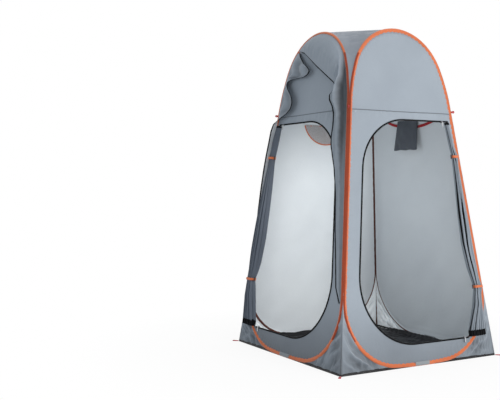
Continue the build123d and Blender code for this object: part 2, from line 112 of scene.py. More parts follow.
# points and outward ways of a circular arc, degrees from the across axis
def arcPoints(mid, radius, start, end, count=160):
    a = np.radians(np.linspace(start, end, count))
    way = stacked(np.cos(a), np.sin(a))
    return np.array(mid) + radius * way, way


# right half of the hoop, bottom middle to top middle: long bow, corner arc, straight side parallel
# to the seam, shoulder arc and crown arc, each tangent to the next
def hoopHalf(offset):
    t = tent
    sideReach = t["halfBase"] * sideCos - t["sideGap"] - t["sleeveWidth"] / 2
    bowUp = t["hoopBottom"] + t["bottomRadius"]
    spare = t["bottomRadius"] - t["cornerRadius"]
    bowTurn = sideAngle + math.asin((sideReach - t["cornerRadius"] - bowUp * sideSin) / spare)
    cornerMid = np.array([spare * math.sin(bowTurn), bowUp - spare * math.cos(bowTurn)])
    sideOut = np.array([sideCos, sideSin])
    shoulderUp = t["hoopTop"] - t["shoulderDrop"]
    shoulder = np.array([seamReach(shoulderUp, t["sideGap"] + t["sleeveWidth"] / 2), shoulderUp])
    crown = t["crownShare"] * shoulder[0]
    crownMid = np.array([0.0, t["hoopTop"] - crown])
    way = shoulder - crownMid
    shoulderRadius = (way @ way - crown ** 2) / (2 * (way @ sideOut - crown))
    shoulderMid = shoulder - shoulderRadius * sideOut
    crownTurn = math.degrees(math.atan2(*(crownMid - shoulderMid)))
    side, bowEnd = math.degrees(sideAngle), math.degrees(bowTurn) - 90
    arcs = [
        arcPoints((0.0, bowUp), t["bottomRadius"] + offset, -90, bowEnd),
        arcPoints(cornerMid, t["cornerRadius"] + offset, bowEnd, side),
        arcPoints(shoulderMid, shoulderRadius + offset, side, 90 - crownTurn),
        arcPoints(crownMid, crown + offset, 90 - crownTurn, 90),
    ]
    return np.concatenate([a[0] for a in arcs]), np.concatenate([a[1] for a in arcs])


# count places evenly spaced by length along a line, with whatever goes along it
def evenly(points, count, *along, closed=False):
    ends = np.concatenate([points, points[:1]]) if closed else points
    length = np.concatenate([[0.0], np.cumsum(np.linalg.norm(np.diff(ends, axis=0), axis=1))])
    s = np.linspace(0.0, length[-1], count, endpoint=not closed)
    rows = [ends] + [np.concatenate([a, a[:1]]) if closed else a for a in along]
    return [s] + [np.stack([np.interp(s, length, r[:, k]) for k in range(r.shape[1])], -1) for r in rows]


# the whole hoop from the bottom middle up its right side and down its left
def hoopLine(count, offset=0.0):
    points, ways = hoopHalf(offset)
    flip = np.array([-1.0, 1.0])
    points = np.concatenate([points, points[-2:0:-1] * flip])
    ways = np.concatenate([ways, ways[-2:0:-1] * flip])
    s, points, ways = evenly(points, count, ways, closed=True)
    return s, points, ways / np.linalg.norm(ways, axis=1, keepdims=True)


# half the hoop's width at a height
def hoopReach(v, offset=0.0):
    points = hoopHalf(offset)[0]
    return np.interp(v, points[:, 1], points[:, 0])


# a sum of slightly turned waves with seeded phases, about -1 to 1: soft folds that wander
def ripple(a, b, seed, wave, turn=0.0, spread=0.35, terms=5):
    rng = np.random.default_rng(seed)
    total = 0.0
    for _ in range(terms):
        way, f = turn + rng.uniform(-spread, spread), 2 * math.pi / (wave * rng.uniform(0.7, 1.45))
        phase, bend = rng.uniform(0, 2 * math.pi), rng.uniform(0.25, 0.5)
        along, across = a * math.cos(way) + b * math.sin(way), b * math.cos(way) - a * math.sin(way)
        total = total + np.sin(f * along + phase + 0.9 * np.sin(bend * f * across + 2 * phase))
    return total / terms ** 0.5 / 1.2


# a bump of one at a place, falling off over a width
def hump(x, place, width):
    return np.exp(-((x - place) / width) ** 2)


# station values joined by a smooth line: straight joins, then a running mean
def smoothLine(x, stations, values, width=0.04):
    order = np.argsort(stations)
    taps = np.linspace(-1.0, 1.0, 15)
    weight = np.cos(taps * math.pi / 2) ** 2
    near = np.interp(x[..., None] + taps * width, np.array(stations)[order], np.array(values)[order])
    return (near * weight).sum(-1) / weight.sum()


# four-sided faces of a grid of points, its rows or columns closed into rings where asked
def gridFaces(rows, cols, closedRows=False, closedCols=False):
    i = np.arange(rows if closedRows else rows - 1)[:, None]
    j = np.arange(cols if closedCols else cols - 1)[None]
    a, b = i * cols, (i + 1) % rows * cols
    k = (j + 1) % cols
    return stacked(a + j, b + j, b + k, a + k).reshape(-1, 4)


# one object from grids of points, each with map coordinates; patches give a material number per face
def gridPiece(name, grids, mats, closedRows=False, closedCols=False, patches=None, caps=False, merge=0.0,
              shades=None):
    verts, faces, coords, numbers, start = [], [], [], [], 0
    for n, (points, uv) in enumerate(grids):
        rows, cols = points.shape[:2]
        quads = gridFaces(rows, cols, closedRows, closedCols) + start
        faces += quads.tolist()
        if caps:
            rim = start + np.arange(cols)
            faces += [rim[::-1].tolist(), (rim + (rows - 1) * cols).tolist()]
        if patches is not None:
            numbers.append(np.concatenate([patches[n].ravel(), np.zeros(2 * caps, int)]))
        verts.append(points.reshape(-1, 3))
        coords.append(uv.reshape(-1, 2))
        start += rows * cols
    mesh = bpy.data.meshes.new(name)
    mesh.from_pydata(np.concatenate(verts).tolist(), [], faces)
    corner = np.empty(len(mesh.loops), np.int32)
    mesh.loops.foreach_get("vertex_index", corner)
    layer = mesh.uv_layers.new(name="cloth")
    layer.data.foreach_set("uv", np.concatenate(coords)[corner].astype(np.float32).ravel())
    mesh.polygons.foreach_set("use_smooth", np.ones(len(mesh.polygons), bool))
    for mat in mats:
        mesh.materials.append(mat)
    if patches is not None:
        mesh.polygons.foreach_set("material_index", np.concatenate(numbers).astype(np.int32))
    # painted shade and highlight per point, from the folds
    if shades is not None:                                # read by the folded cloths
        layer = mesh.attributes.new("paintedFoldShading", "FLOAT", "POINT")
        layer.data.foreach_set("value", np.concatenate([s.ravel() for s in shades]).astype(np.float32))
    if merge:
        shape = bmesh.new()
        shape.from_mesh(mesh)
        bmesh.ops.remove_doubles(shape, verts=shape.verts, dist=merge)
        shape.to_mesh(mesh)
        shape.free()
    mesh.update()
    piece = bpy.data.objects.new(name, mesh)
    bpy.context.scene.collection.objects.link(piece)
    return piece


# turn a grid over where its faces look towards the inside point
def facing(points, uv, inside=middle):
    n = np.cross(np.gradient(points, axis=0), np.gradient(points, axis=1))
    if (n * (points - inside)).sum() < 0:
        return points[:, ::-1], uv[:, ::-1]
    return points, uv


# cloth thickness, with the next material slot on the inside where there is a lining
def thicken(piece, thick, lining=True):
    solid = piece.modifiers.new("thickness", "SOLIDIFY")
    solid.thickness, solid.offset, solid.use_even_offset = thick, 0.0, False
    solid.material_offset = 1 if lining else 0
    return piece


# whose body it rides and what it stands for, which is hidden
def settle(piece, body, slotName, *nodes):
    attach(piece, body)
    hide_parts(*nodes)


# cloth of the usual thickness, lined where it has more than one material, settled on its body
def clothPiece(name, grids, mats, body, slotName, *nodes, **making):
    piece = thicken(gridPiece(name, grids, mats, **making), tent["cloth"], len(mats) > 1)
    settle(piece, body, slotName, *nodes)
    return piece


# flat cut of a grid laid out in two lengths: its width, its length and the area of its quads
def flatCut(a, b):
    d1 = (a[1:, 1:] - a[:-1, :-1], b[1:, 1:] - b[:-1, :-1])
    d2 = (a[:-1, 1:] - a[1:, :-1], b[:-1, 1:] - b[1:, :-1])
    area = np.abs(d1[0] * d2[1] - d1[1] * d2[0]).sum() / 2
    return float(np.ptp(a)), float(np.ptp(b)), float(area)


# area of a grid of points by the cross products of its quads' diagonals
def gridArea(points):
    d1, d2 = points[1:, 1:] - points[:-1, :-1], points[:-1, 1:] - points[1:, :-1]
    return float(np.linalg.norm(np.cross(d1, d2), axis=-1).sum() / 2)


leastFill = 0.3                            # least share of width times length that is taken as area


# flat size of cuts laid end to end
def declare(cuts):
    width, length = max(c[0] for c in cuts), sum(c[1] for c in cuts)
    area = min(sum(c[2] for c in cuts), width * length)
    area = max(area, leastFill * width * length)


print("helpers ready")


# a shader node with its settings, and its inputs set to values or linked to the sockets given
def addNode(tree, kind, inputs=None, **settings):
    node = tree.nodes.new("ShaderNode" + kind)
    for label, value in settings.items():
        setattr(node, label, value)
    for label, value in (inputs or {}).items():
        if isinstance(value, bpy.types.NodeSocket):
            tree.links.new(value, node.inputs[label])
        else:
            node.inputs[label].default_value = value
    return node


def mathNode(tree, kind, a, b):
    return addNode(tree, "Math", {0: a, 1: b}, operation=kind).outputs[0]


def multiplied(tree, colour, shade, share=1.0):
    inputs = {"Factor": share, "A": colour, "B": shade}
    return addNode(tree, "Mix", inputs, data_type="RGBA", blend_type="MULTIPLY").outputs["Result"]


# node group with its inputs, where None stands for a vector, and its float outputs
def newGroup(name, inputs, outputs):
    group = bpy.data.node_groups.new(name, "ShaderNodeTree")
    for label, value in inputs.items():
        kind = "NodeSocketVector" if value is None else "NodeSocketFloat"
        socket = group.interface.new_socket(label, in_out="INPUT", socket_type=kind)
        if value is not None:
            socket.default_value = value
    for label in outputs:
        group.interface.new_socket(label, in_out="OUTPUT", socket_type="NodeSocketFloat")
    return group, group.nodes.new("NodeGroupInput").outputs, group.nodes.new("NodeGroupOutput").inputs


# weave: two crossed band waves, the larger of them wins, so threads pass over and under
weaveGroup, given, made = newGroup("weave", {"Place": None, "Fineness": 300.0}, ["Height"])
bands = {"Vector": given["Place"], "Scale": given["Fineness"]}
bands = [addNode(weaveGroup, "TexWave", bands, bands_direction=way).outputs["Fac"] for way in "XY"]
weaveGroup.links.new(mathNode(weaveGroup, "MAXIMUM", *bands), made["Height"])

# mottle: broad and fine noise in the object's own space
mottleGroup, given, made = newGroup("mottle", {"Broad": 3.0, "Fine": 45.0}, ["Cloud", "Crumple"])
place = addNode(mottleGroup, "TexCoord").outputs["Object"]
for label, target, detail in (("Broad", "Cloud", 3.0), ("Fine", "Crumple", 5.0)):
    noise = addNode(mottleGroup, "TexNoise", {"Detail": detail, "Vector": place, "Scale": given[label]})
    mottleGroup.links.new(noise.outputs["Fac"], made[target])

# sewn line: darker within a few millimetres of a height on the piece's map
sewnGroup, given, made = newGroup("sewnLine", {"Place": None, "Height": 1.5, "Wide": 0.004}, ["Shade"])
up = addNode(sewnGroup, "SeparateXYZ", {0: given["Place"]}).outputs["Y"]
away = mathNode(sewnGroup, "SUBTRACT", up, given["Height"])
away = mathNode(sewnGroup, "ABSOLUTE", away, 0.0)
away = mathNode(sewnGroup, "DIVIDE", away, given["Wide"])
ramp = addNode(sewnGroup, "MapRange", {"Value": away, "From Min": 0.45, "To Min": 0.42})
sewnGroup.links.new(ramp.outputs["Result"], made["Shade"])

# painted shade: darker towards the ground, broken up by slow noise
groundShadeGroup, given, made = newGroup("paintedGroundShade", {"Top": 0.5, "Dark": 0.6}, ["Shade"])
place = addNode(groundShadeGroup, "TexCoord").outputs["Object"]
noise = addNode(groundShadeGroup, "TexNoise", {"Scale": 4.0, "Vector": place})
wander = mathNode(groundShadeGroup, "MULTIPLY", noise.outputs["Fac"], 0.12)
up = mathNode(groundShadeGroup, "ADD", addNode(groundShadeGroup, "SeparateXYZ", {0: place}).outputs["Z"], wander)
ramp = addNode(groundShadeGroup, "MapRange", {"Value": up, "From Max": given["Top"], "To Min": given["Dark"]})
groundShadeGroup.links.new(ramp.outputs["Result"], made["Shade"])


# linear colour of levels of 255
def srgb(*levels):
    linear = (c / 255 / 12.92 if c < 10 else ((c / 255 + 0.055) / 1.055) ** 2.4 for c in levels)
    return (*linear, 1.0)


# what every look starts from: two tones by the mottle and a roughness that follows its crumple
def startLook(name, pale, dark, spread, scales, rough):
    mat = bpy.data.materials.new(name)
    mat.use_nodes = True
    tree = mat.node_tree
    surface = tree.nodes["Principled BSDF"].inputs
    mottle = addNode(tree, "Group", node_tree=mottleGroup)
    mottle.inputs["Broad"].default_value, mottle.inputs["Fine"].default_value = scales
    crumple = mottle.outputs["Crumple"]
    tone = addNode(tree, "ValToRGB", {"Fac": mottle.outputs["Cloud"]})
    for stop, position, colour in zip(tone.color_ramp.elements, spread, (dark, pale)):
        stop.position = position
        stop.color = srgb(*colour)
    roughness = addNode(tree, "MapRange", {"Value": crumple, "To Min": rough[0], "To Max": rough[1]})
    tree.links.new(roughness.outputs["Result"], surface["Roughness"])
    return mat, tree, surface, crumple, tone.outputs["Color"]


# woven cloth: thread shade, darker sewn lines, painted shade towards the ground, painted fold shading and
# painted glow where asked for, and a bump of threads and crumple
def clothLook(name, pale, dark, thread=0.0011, rough=0.75, threadBump=0.10, crumpleBump=0.25, sheen=0.15,
              fine=45.0, sewnAt=0.0, groundShade=0.0, folded=False, shine=0.3, paintedGlow=0.0):
    mat, tree, surface, crumple, tone = startLook(
        name, pale, dark, (0.3, 0.7), (3.0, fine), (rough - 0.1, rough + 0.1))
    place = addNode(tree, "UVMap", uv_map="cloth").outputs["UV"]
    weave = addNode(tree, "Group", node_tree=weaveGroup)
    weave.inputs["Fineness"].default_value = 2 * math.pi / 20 / thread     # at one, bands are 2 pi / 20 wide
    tree.links.new(place, weave.inputs["Place"])
    height = weave.outputs["Height"]
    colour = multiplied(tree, tone, height, 0.10)
    if sewnAt:
        sewn = addNode(tree, "Group", node_tree=sewnGroup)
        sewn.inputs["Height"].default_value = sewnAt
        tree.links.new(place, sewn.inputs["Place"])
        colour = multiplied(tree, colour, sewn.outputs["Shade"])
    # painted shade, darker towards the ground
    if groundShade:
        groundShaded = addNode(tree, "Group", {"Dark": groundShade}, node_tree=groundShadeGroup)
        colour = multiplied(tree, colour, groundShaded.outputs["Shade"])
    if folded:                                            # painted shade and highlight, read from the piece's folds
        deep = addNode(tree, "Attribute", attribute_name="paintedFoldShading")
        colour = multiplied(tree, colour, deep.outputs["Fac"])
    tree.links.new(colour, surface["Base Color"])
    if paintedGlow:                                           # painted glow, standing in for daylight let in by thin cloth
        tree.links.new(colour, surface["Emission Color"])
        surface["Emission Strength"].default_value = paintedGlow
    surface["Sheen Weight"].default_value = sheen
    surface["Specular IOR Level"].default_value = shine
    soft = addNode(tree, "Bump", {"Strength": crumpleBump, "Distance": 0.004, "Height": crumple})
    threads = addNode(tree, "Bump", {"Strength": threadBump, "Distance": 0.0004, "Height": height})
    tree.links.new(soft.outputs["Normal"], threads.inputs["Normal"])
    tree.links.new(threads.outputs["Normal"], surface["Normal"])
    return mat


# hard small parts: two tones of fine noise and a faint bump
def hardLook(name, pale, dark, rough, metal):
    mat, tree, surface, crumple, tone = startLook(
        name, pale, dark, (0.35, 0.65), (300.0, 1800.0), (rough - 0.08, rough + 0.12))
    tree.links.new(tone, surface["Base Color"])
    surface["Metallic"].default_value = metal
    bump = addNode(tree, "Bump", {"Strength": 0.15, "Distance": 0.0003, "Height": crumple})
    tree.links.new(bump.outputs["Normal"], surface["Normal"])
    return mat


# tones are levels of 255, pale and dark
greyTones = (154, 163, 173), (147, 156, 166)
silver = dict(rough=0.55, threadBump=0.04)
tape = dict(thread=0.0014, threadBump=0.25)
greyCloth = clothLook("greyPolyester", *greyTones, groundShade=0.56)
gussetCloth = clothLook("gussetPolyester", *greyTones, groundShade=0.55, folded=True)
doorCloth = clothLook("doorPolyester", *greyTones, sewnAt=1.546, groundShade=0.56)
# the left door's copy of the grey cloth, with deeper painted shade near the ground
leftDoorShadedCloth = clothLook("leftDoorPolyesterPaintedShade", *greyTones, sewnAt=1.546, groundShade=0.36)
coverCloth = clothLook("coverPolyester", (150, 159, 169), (142, 151, 161), folded=True)
# a darker copy of the grey cloth: painted shade for the left door's gathered pleats
leftBundleShadedCloth = clothLook("tiedDoorPaintedShade", (104, 112, 124), (90, 98, 110))
# painted glow on the silver lining, stronger on the gussets
insideCoat = clothLook("silverInside", (232, 238, 242), (225, 231, 236), paintedGlow=0.035, **silver)
insideGusset = clothLook("silverInsideMoreGlow", (228, 233, 236), (218, 224, 228), folded=True, paintedGlow=0.22,
                         **silver)
roofCloth = clothLook("roofPolyester", (142, 148, 157), (126, 132, 141), crumpleBump=0.45)
patchCloth = clothLook("patchPolyester", (150, 156, 160), (132, 138, 143), thread=0.0016, threadBump=0.3)
orangeTape = clothLook("orangeBinding", (217, 118, 74), (200, 103, 60), sheen=0.3, **tape)
# painted shade of the binding, for the outer flank of its upright sides
orangeShadedSide = clothLook("orangeBindingPaintedShade", (156, 64, 34), (134, 50, 26), **tape)
orangeInside = clothLook("orangeBindingInside", (118, 70, 58), (96, 54, 46), **tape)
blackSheet = clothLook("blackGroundsheet", (40, 40, 43), (18, 18, 20), rough=0.45, crumpleBump=1.0,
                       fine=32.0, sheen=0.0, shine=0.25)
blackTape = clothLook("blackZipTape", (22, 23, 26), (12, 13, 15), thread=0.0012, threadBump=0.3, sheen=0.0,
                      shine=0.10)
redWeb = clothLook("redWebbing", (196, 30, 40), (168, 18, 28), thread=0.0016, threadBump=0.4, sheen=0.3)
pocketCloth = clothLook("darkPocket", (97, 102, 110), (82, 87, 95), thread=0.0014, threadBump=0.2)
zipTeeth = hardLook("zipCoil", (30, 30, 33), (16, 16, 18), 0.55, 0.0)
zipMetal = hardLook("zipNickel", (206, 208, 210), (178, 180, 184), 0.28, 1.0)
blackPlastic = hardLook("togglePlastic", (48, 47, 47), (30, 29, 30), 0.42, 0.0)
springSteel = hardLook("springSteel", (150, 152, 156), (118, 120, 124), 0.32, 1.0)

# knotted net: holes where both bands are low
netCloth = clothLook("greyNet", (196, 193, 194), (180, 177, 178), thread=0.0024, threadBump=0.4)
tree = netCloth.node_tree
net = next(n for n in tree.nodes if n.type == "GROUP" and n.node_tree == weaveGroup)
hole = addNode(tree, "MapRange", {"Value": net.outputs["Height"], "From Min": 0.40, "From Max": 0.62})
tree.links.new(hole.outputs["Result"], tree.nodes["Principled BSDF"].inputs["Alpha"])
print("materials ready")

# hoops: binding sleeves over the spring wire, with a cloth patch over each ferrule
sleeveCut = dict(
    rings=840, round=22, inner=-0.0100, outer=0.0139, flat=0.0012, bulge=0.0060, wire=0.0040, pucker=0.0115,
    dark=0.0028, upright=0.85, wireFrom=-0.001, low=0.0004, square=0.75, swell=0.0075, stitch=0.09,
    sway=0.0004, fray=0.0005, girth=0.0055,
)


# sleeve: a flat tape with a round swelling over the wire, carried round the hoop and puckered where sewn
def hoopSleeve(wall, seed):
    k = sleeveCut
    s, points, ways = hoopLine(k["rings"])
    a = roundAngles(k["round"])
    mid, half = (k["inner"] + k["outer"]) / 2, (k["outer"] - k["inner"]) / 2
    r = mid + half * blunt(np.cos(a), k["square"])
    high = k["flat"] + k["bulge"] * hump(r, k["wire"], k["swell"])
    stitch = 1 + k["stitch"] * np.sin(2 * math.pi * s / k["pucker"] + 1.5 * ripple(s, 0.0, seed, 0.3))
    w = (high * blunt(np.sin(a), k["square"]))[None] * stitch[:, None]
    w = w + k["sway"] * ripple(s, 0.0, seed + 1, 0.12)[:, None]
    reach = r[None] + k["fray"] * ripple(s, 0.0, seed + 2, 0.05)[:, None] * (r < 0)
    u, v = points[:, :1] + ways[:, :1] * reach, np.maximum(points[:, 1:] + ways[:, 1:] * reach, k["low"])
    uv = stacked(s[:, None], a * k["girth"])
    turn = a + math.pi / k["round"]
    spot = mid + half * blunt(np.cos(turn), k["square"])
    face = np.where(np.sin(turn) > -0.05, 0, np.where(spot > k["wireFrom"], 1, 2))[None]
    # painted shade: the darker copy of the binding on the outer flank of the upright sides
    shady = (np.abs(ways[:, :1]) > k["upright"]) & (spot > k["dark"])[None] & (face == 0)
    mats = [orangeTape, orangeInside, insideCoat, orangeShadedSide]
    grids = [(onWall(wall, u, v, w), uv)]
    piece = gridPiece(f"{wall}Sleeve", grids, mats, True, True, [np.where(shady, 3, face)])
    settle(piece, wallBody[wall], "orange_binding", f"{wall}_hoop_sleeve")


patchCut = dict(
    half=0.055, rings=44, round=26, wide=0.0125, high=0.0078, end=0.008, low=-0.0107, girth=0.009)


# patch: a soft oval sleeve on the bottom bow, pinched where it is stitched
def hoopPatch(wall, seed):
    k = patchCut
    x = np.linspace(-k["half"], k["half"], k["rings"])
    a = roundAngles(k["round"])
    bow = tent["hoopBottom"] + x ** 2 / (2 * tent["bottomRadius"])
    fold = 1 + 0.05 * ripple(x[:, None], 0.01 * a[None], seed, 0.03)
    pinch = 0.80 + 0.20 * clamp((k["half"] - np.abs(x)) / k["end"]) ** 0.5
    r = k["wide"] * blunt(np.cos(a), 0.8)
    w = k["high"] * blunt(np.sin(a), 0.7)
    u = np.broadcast_to(x[:, None], (k["rings"], k["round"]))
    v = bow[:, None] + np.maximum(r[None], k["low"]) * (0.9 + 0.1 * fold)
    rings = onWall(wall, u, v, w[None] * fold * pinch[:, None])
    uv = stacked(x[:, None], a * k["girth"])
    piece = gridPiece(f"{wall}Patch", [(rings, uv)], [patchCloth], False, True, caps=True)
    settle(piece, wallBody[wall], "grey_patch", f"{wall}_hoop_patch")


for n, wall in enumerate(walls):
    hoopSleeve(wall, 10 + n)
    hoopPatch(wall, 30 + n)
print("hoops done")

# doors are drawn with the sewn edge on the right; the left wall's is the mirror image
doorCut = dict(
    top=1.495, bottom=0.132, edgeGap=0.112, topRadius=0.345, bottomRadius=0.385, hinge=0.024, past=0.62)
doorSide = {"front": 1.0, "left": -1.0}


# free edge of a door: top line, rounded corner, side parallel to the seam, rounded corner, bottom line
def doorLine(count):
    k = doorCut
    base = sideCos * seamReach(0.0, k["edgeGap"])
    side = 180 - math.degrees(sideAngle)
    points, ways = [np.array([[k["past"], k["top"]]])], [np.array([[0.0, 1.0]])]
    for radius, up, start, end in (
        (k["topRadius"], k["top"] - k["topRadius"], 90, side),
        (k["bottomRadius"], k["bottom"] + k["bottomRadius"], side, 270),
    ):
        across = (sideSin * up - base + radius) / sideCos
        arc = arcPoints((across, up), radius, start, end)
        points.append(arc[0])
        ways.append(arc[1])
    points.append(np.array([[k["past"], k["bottom"]]]))
    ways.append(np.array([[0.0, -1.0]]))
    s, points, ways = evenly(np.concatenate(points), count, np.concatenate(ways))
    return s, points, ways / np.linalg.norm(ways, axis=1, keepdims=True)


panelCloth = {"front": doorCloth, "left": leftDoorShadedCloth}
panelCut = dict(
    around=760, across=30, closer=1.15, lap=-0.006, seam=1.541,
    billow=0.007, pucker=0.0014, stitch=0.031, fine=3000,
    mid=(0.03, 0.80), rows=190, cols=120, edge=0.0105, room=0.3,
    pocketUp=1.43, pocketHigh=0.22, pocketHalf=0.42,
)


# how far the panel stands out: slow billow, puckers at the hoop, and the sewn lintel's groove and lip
def panelOut(u, v, s, edge, room, seed, seam):
    k = panelCut
    free = clamp(edge / 0.06) * clamp(room / 0.12)
    out = k["billow"] * free * (0.35 * ripple(u, v, seed, 0.7) + 0.25 * ripple(u, v, seed + 1, 0.22, 0.9))
    stitch = np.sin(2 * math.pi * s / k["stitch"] + 2 * ripple(s, 0.0, seed + 2, 0.4))
    out = out + k["pucker"] * np.exp(-edge / 0.02) * stitch
    if seam:
        away = v - k["seam"] - 0.004 * ripple(u, 0.0, seed + 3, 0.5)
        for tall, place, wide in ((-0.0030, 0.0, 0.0035), (0.0022, 0.010, 0.009), (0.0015, -0.012, 0.008)):
            out = out + tall * hump(away, place, wide)
        out = out + 0.0016 * hump(away, -0.02, 0.03) * ripple(u, v, seed + 4, 0.06)
    return out


# door panel: a ring of cloth between the door's outline and the hoop, along rays from its middle
def doorPanel(wall, seed):
    k, side = panelCut, doorSide[wall]
    s, outer, _ = hoopLine(k["around"], k["lap"])
    mid = np.array(k["mid"])
    ray = outer - mid
    angle, far = np.arctan2(ray[:, 1], ray[:, 0]), np.linalg.norm(ray, axis=1)
    near = []
    for line in (doorLine(k["fine"])[1], hoopLine(k["fine"], -doorCut["hinge"])[1]):
        way = line - mid
        bearing, length = np.arctan2(way[:, 1], way[:, 0]), np.linalg.norm(way, axis=1)
        near.append(np.interp(angle, bearing, length, period=2 * math.pi))
    near = np.minimum(*near)
    t = np.linspace(0, 1, k["across"]) ** k["closer"]
    reach = near[:, None] + (far - near)[:, None] * t
    u, v = mid[0] + reach * np.cos(angle)[:, None], mid[1] + reach * np.sin(angle)[:, None]
    edge, room = far[:, None] - reach, np.broadcast_to((far - near)[:, None], u.shape)
    w = panelOut(u, v, s[:, None], edge, room, seed, True) * clamp((reach - near[:, None]) / 0.02)
    corner = hump(u, 0.40, 0.12) * hump(v, 0.09, 0.09)            # small folds low by the sewn edge
    w = w + 0.024 * t * (1 - t) * corner * ripple(u, v, seed + 7, 0.05, 2.2)
    grid = facing(onWall(wall, side * u, v, w), stacked(u, v))
    grid = tuple(np.concatenate([g, g[:1]]) for g in grid)
    mats = [panelCloth[wall], insideCoat]
    piece = clothPiece(f"{wall}Panel", [grid], mats, wallBody[wall], "grey_polyester", f"{wall}_wall_panel",
                       merge=0.00002)
    declare([flatCut(u, v)])


# plain panel: rows up the wall from side to side of the hoop
def plainPanel(wall, seed):
    k = panelCut
    low, high = tent["hoopBottom"] + k["edge"], tent["hoopTop"] - k["edge"]
    t = np.linspace(0, 1, k["rows"])
    v = (low + (high - low) * (0.5 - 0.5 * np.cos(math.pi * t)))[:, None]
    half = hoopReach(v, -0.005)
    u = half * np.linspace(-1, 1, k["cols"])[None]
    v = v + 0 * u
    edge = np.minimum(half - np.abs(u), np.minimum(v - low, high - v))
    w = panelOut(u, v, v, np.maximum(edge, 0), k["room"], seed, False)
    pinned = hump(v, k["pocketUp"], k["pocketHigh"]) * hump(u, 0.0, k["pocketHalf"])
    w = w + clamp(2.5 * pinned) * (np.maximum(w, 0) - w)          # only outward where a pocket hangs
    grid = facing(onWall(wall, u, v, w), stacked(u, v))
    mats = [greyCloth, insideCoat]
    piece = clothPiece(f"{wall}Panel", [grid], mats, wallBody[wall], "grey_polyester", f"{wall}_wall_panel")
    declare([flatCut(u, v)])


doorPanel("front", 50)
doorPanel("left", 60)
plainPanel("right", 70)
plainPanel("back", 80)
print("panels done")

# corner gussets and the groundsheet hem under them, both sides of a wall in one piece
gussetCut = dict(
    start=0.22, top=0.47, lift=0.012, rows=90, cols=84, fold=0.018, inward=0.16, onSleeve=0.006,
    topGap=0.0085, seamGap=0.0004, seamFrom=0.97, creaseBase=0.75, creaseBroad=1.25, creaseFine=0.45,
    shadeBase=1.02, shadeFold=0.42, shadeSeam=0.45, groove=0.004,
    lap=0.002, hemStart=0.075, hemEnd=0.0006, hemLow=0.0018, hemRows=110, hemCols=7,
)


# gusset: straight lines from the hoop's outer edge to the corner seam, creased between them
def gussets(wall, seed):
    k = gussetCut
    line = hoopHalf(k["onSleeve"])[0]
    line = line[(line[:, 0] >= k["start"]) & (line[:, 1] <= k["top"])]
    line = np.concatenate([line, [[seamReach(k["top"], k["topGap"]), k["top"]]]])
    _, near = evenly(line, k["rows"])
    up = k["lift"] + (k["top"] - k["lift"]) * np.linspace(0, 1, k["rows"]) ** 1.1
    far = stacked(seamReach(up, k["seamGap"]), up)
    t = np.linspace(0, 1, k["cols"])
    grids, cuts, shades, seams = [], [], [], []
    for side in (1, -1):
        u = near[:, :1] + (far - near)[:, :1] * t
        v = near[:, 1:] + (far - near)[:, 1:] * t
        wide = (far - near)[:, :1]
        free = halfWave(t)[None] ** 0.8 * clamp(wide / 0.12) * clamp(v / 0.05)
        n = seed + side
        crease = k["creaseBase"] - k["creaseBroad"] * np.abs(ripple(u, v, n, 0.12, -0.80, 0.35, 3))
        crease = crease - k["creaseFine"] * np.abs(ripple(u, v, n + 5, 0.055, -0.55, 0.5, 3))
        w = k["fold"] * free * crease - k["groove"] * hump(t, 0.0, 0.05) * clamp(wide / 0.08)
        w = np.maximum(w, -k["inward"] * wide * (1 - t))
        # painted shade in the creases and painted highlight on their ridges, and a darker line at the corner
        # seam
        shade = k["shadeBase"] + k["shadeFold"] * crease * free - k["shadeSeam"] * hump(t, 1.0, 0.03)
        grid, both = facing(onWall(wall, side * u, v, w), stacked(u, v, shade, t))
        grids.append((grid, both[..., :2]))
        shades.append(both[..., 2])
        seams.append((np.minimum(both[:-1, :-1, 3], both[:-1, 1:, 3]) > k["seamFrom"]).astype(int) * 2)
        cuts.append(flatCut(u, v))
    mats = [gussetCloth, insideGusset, gussetCloth, orangeInside]
    piece = clothPiece(f"{wall}Gussets", grids, mats, wallBody[wall], "grey_polyester", f"{wall}_gussets",
                       patches=seams, shades=shades)
    declare(cuts)


# hem: a low strip from the groundsheet up to the gusset's edge, a little wavy
def hem(wall, seed):
    k = gussetCut
    u = np.linspace(k["hemStart"], seamReach(0.01, k["hemEnd"]), k["hemRows"])[:, None]
    t = np.linspace(0, 1, k["hemCols"])[None]
    line = hoopHalf(k["onSleeve"])[0]
    hoop = np.interp(np.minimum(u, k["start"]), line[: len(line) // 2, 0], line[: len(line) // 2, 1])
    top = hoop + (k["lift"] - hoop) * clamp((u - k["start"]) / (u[-1] - k["start"])) + k["lap"]
    v = k["hemLow"] + (top - k["hemLow"]) * t
    w = 0.0012 * ripple(u, v, seed, 0.06) * (1 - t) + 0.0006 * (1 - t)
    u = u + 0 * t
    grids = [facing(onWall(wall, side * u, v, w), stacked(u, v)) for side in (1, -1)]
    piece = clothPiece(f"{wall}Hem", grids, [blackSheet], wallBody[wall], "black_groundsheet", f"{wall}_hem")
    declare([flatCut(u, v)] * 2)


for n, wall in enumerate(walls):
    gussets(wall, 100 + 20 * n)
    hem(wall, 190 + n)

floorCut = dict(
    half=0.600, count=215, crease=0.0095, lift=0.0006, hold=0.08, below=(0.0, 0.0, -5.0),
    ridge=0.036, ridgeAt=0.560, ridgeWide=0.016, ridgeHalf=0.47, ridgeFade=0.12,
)


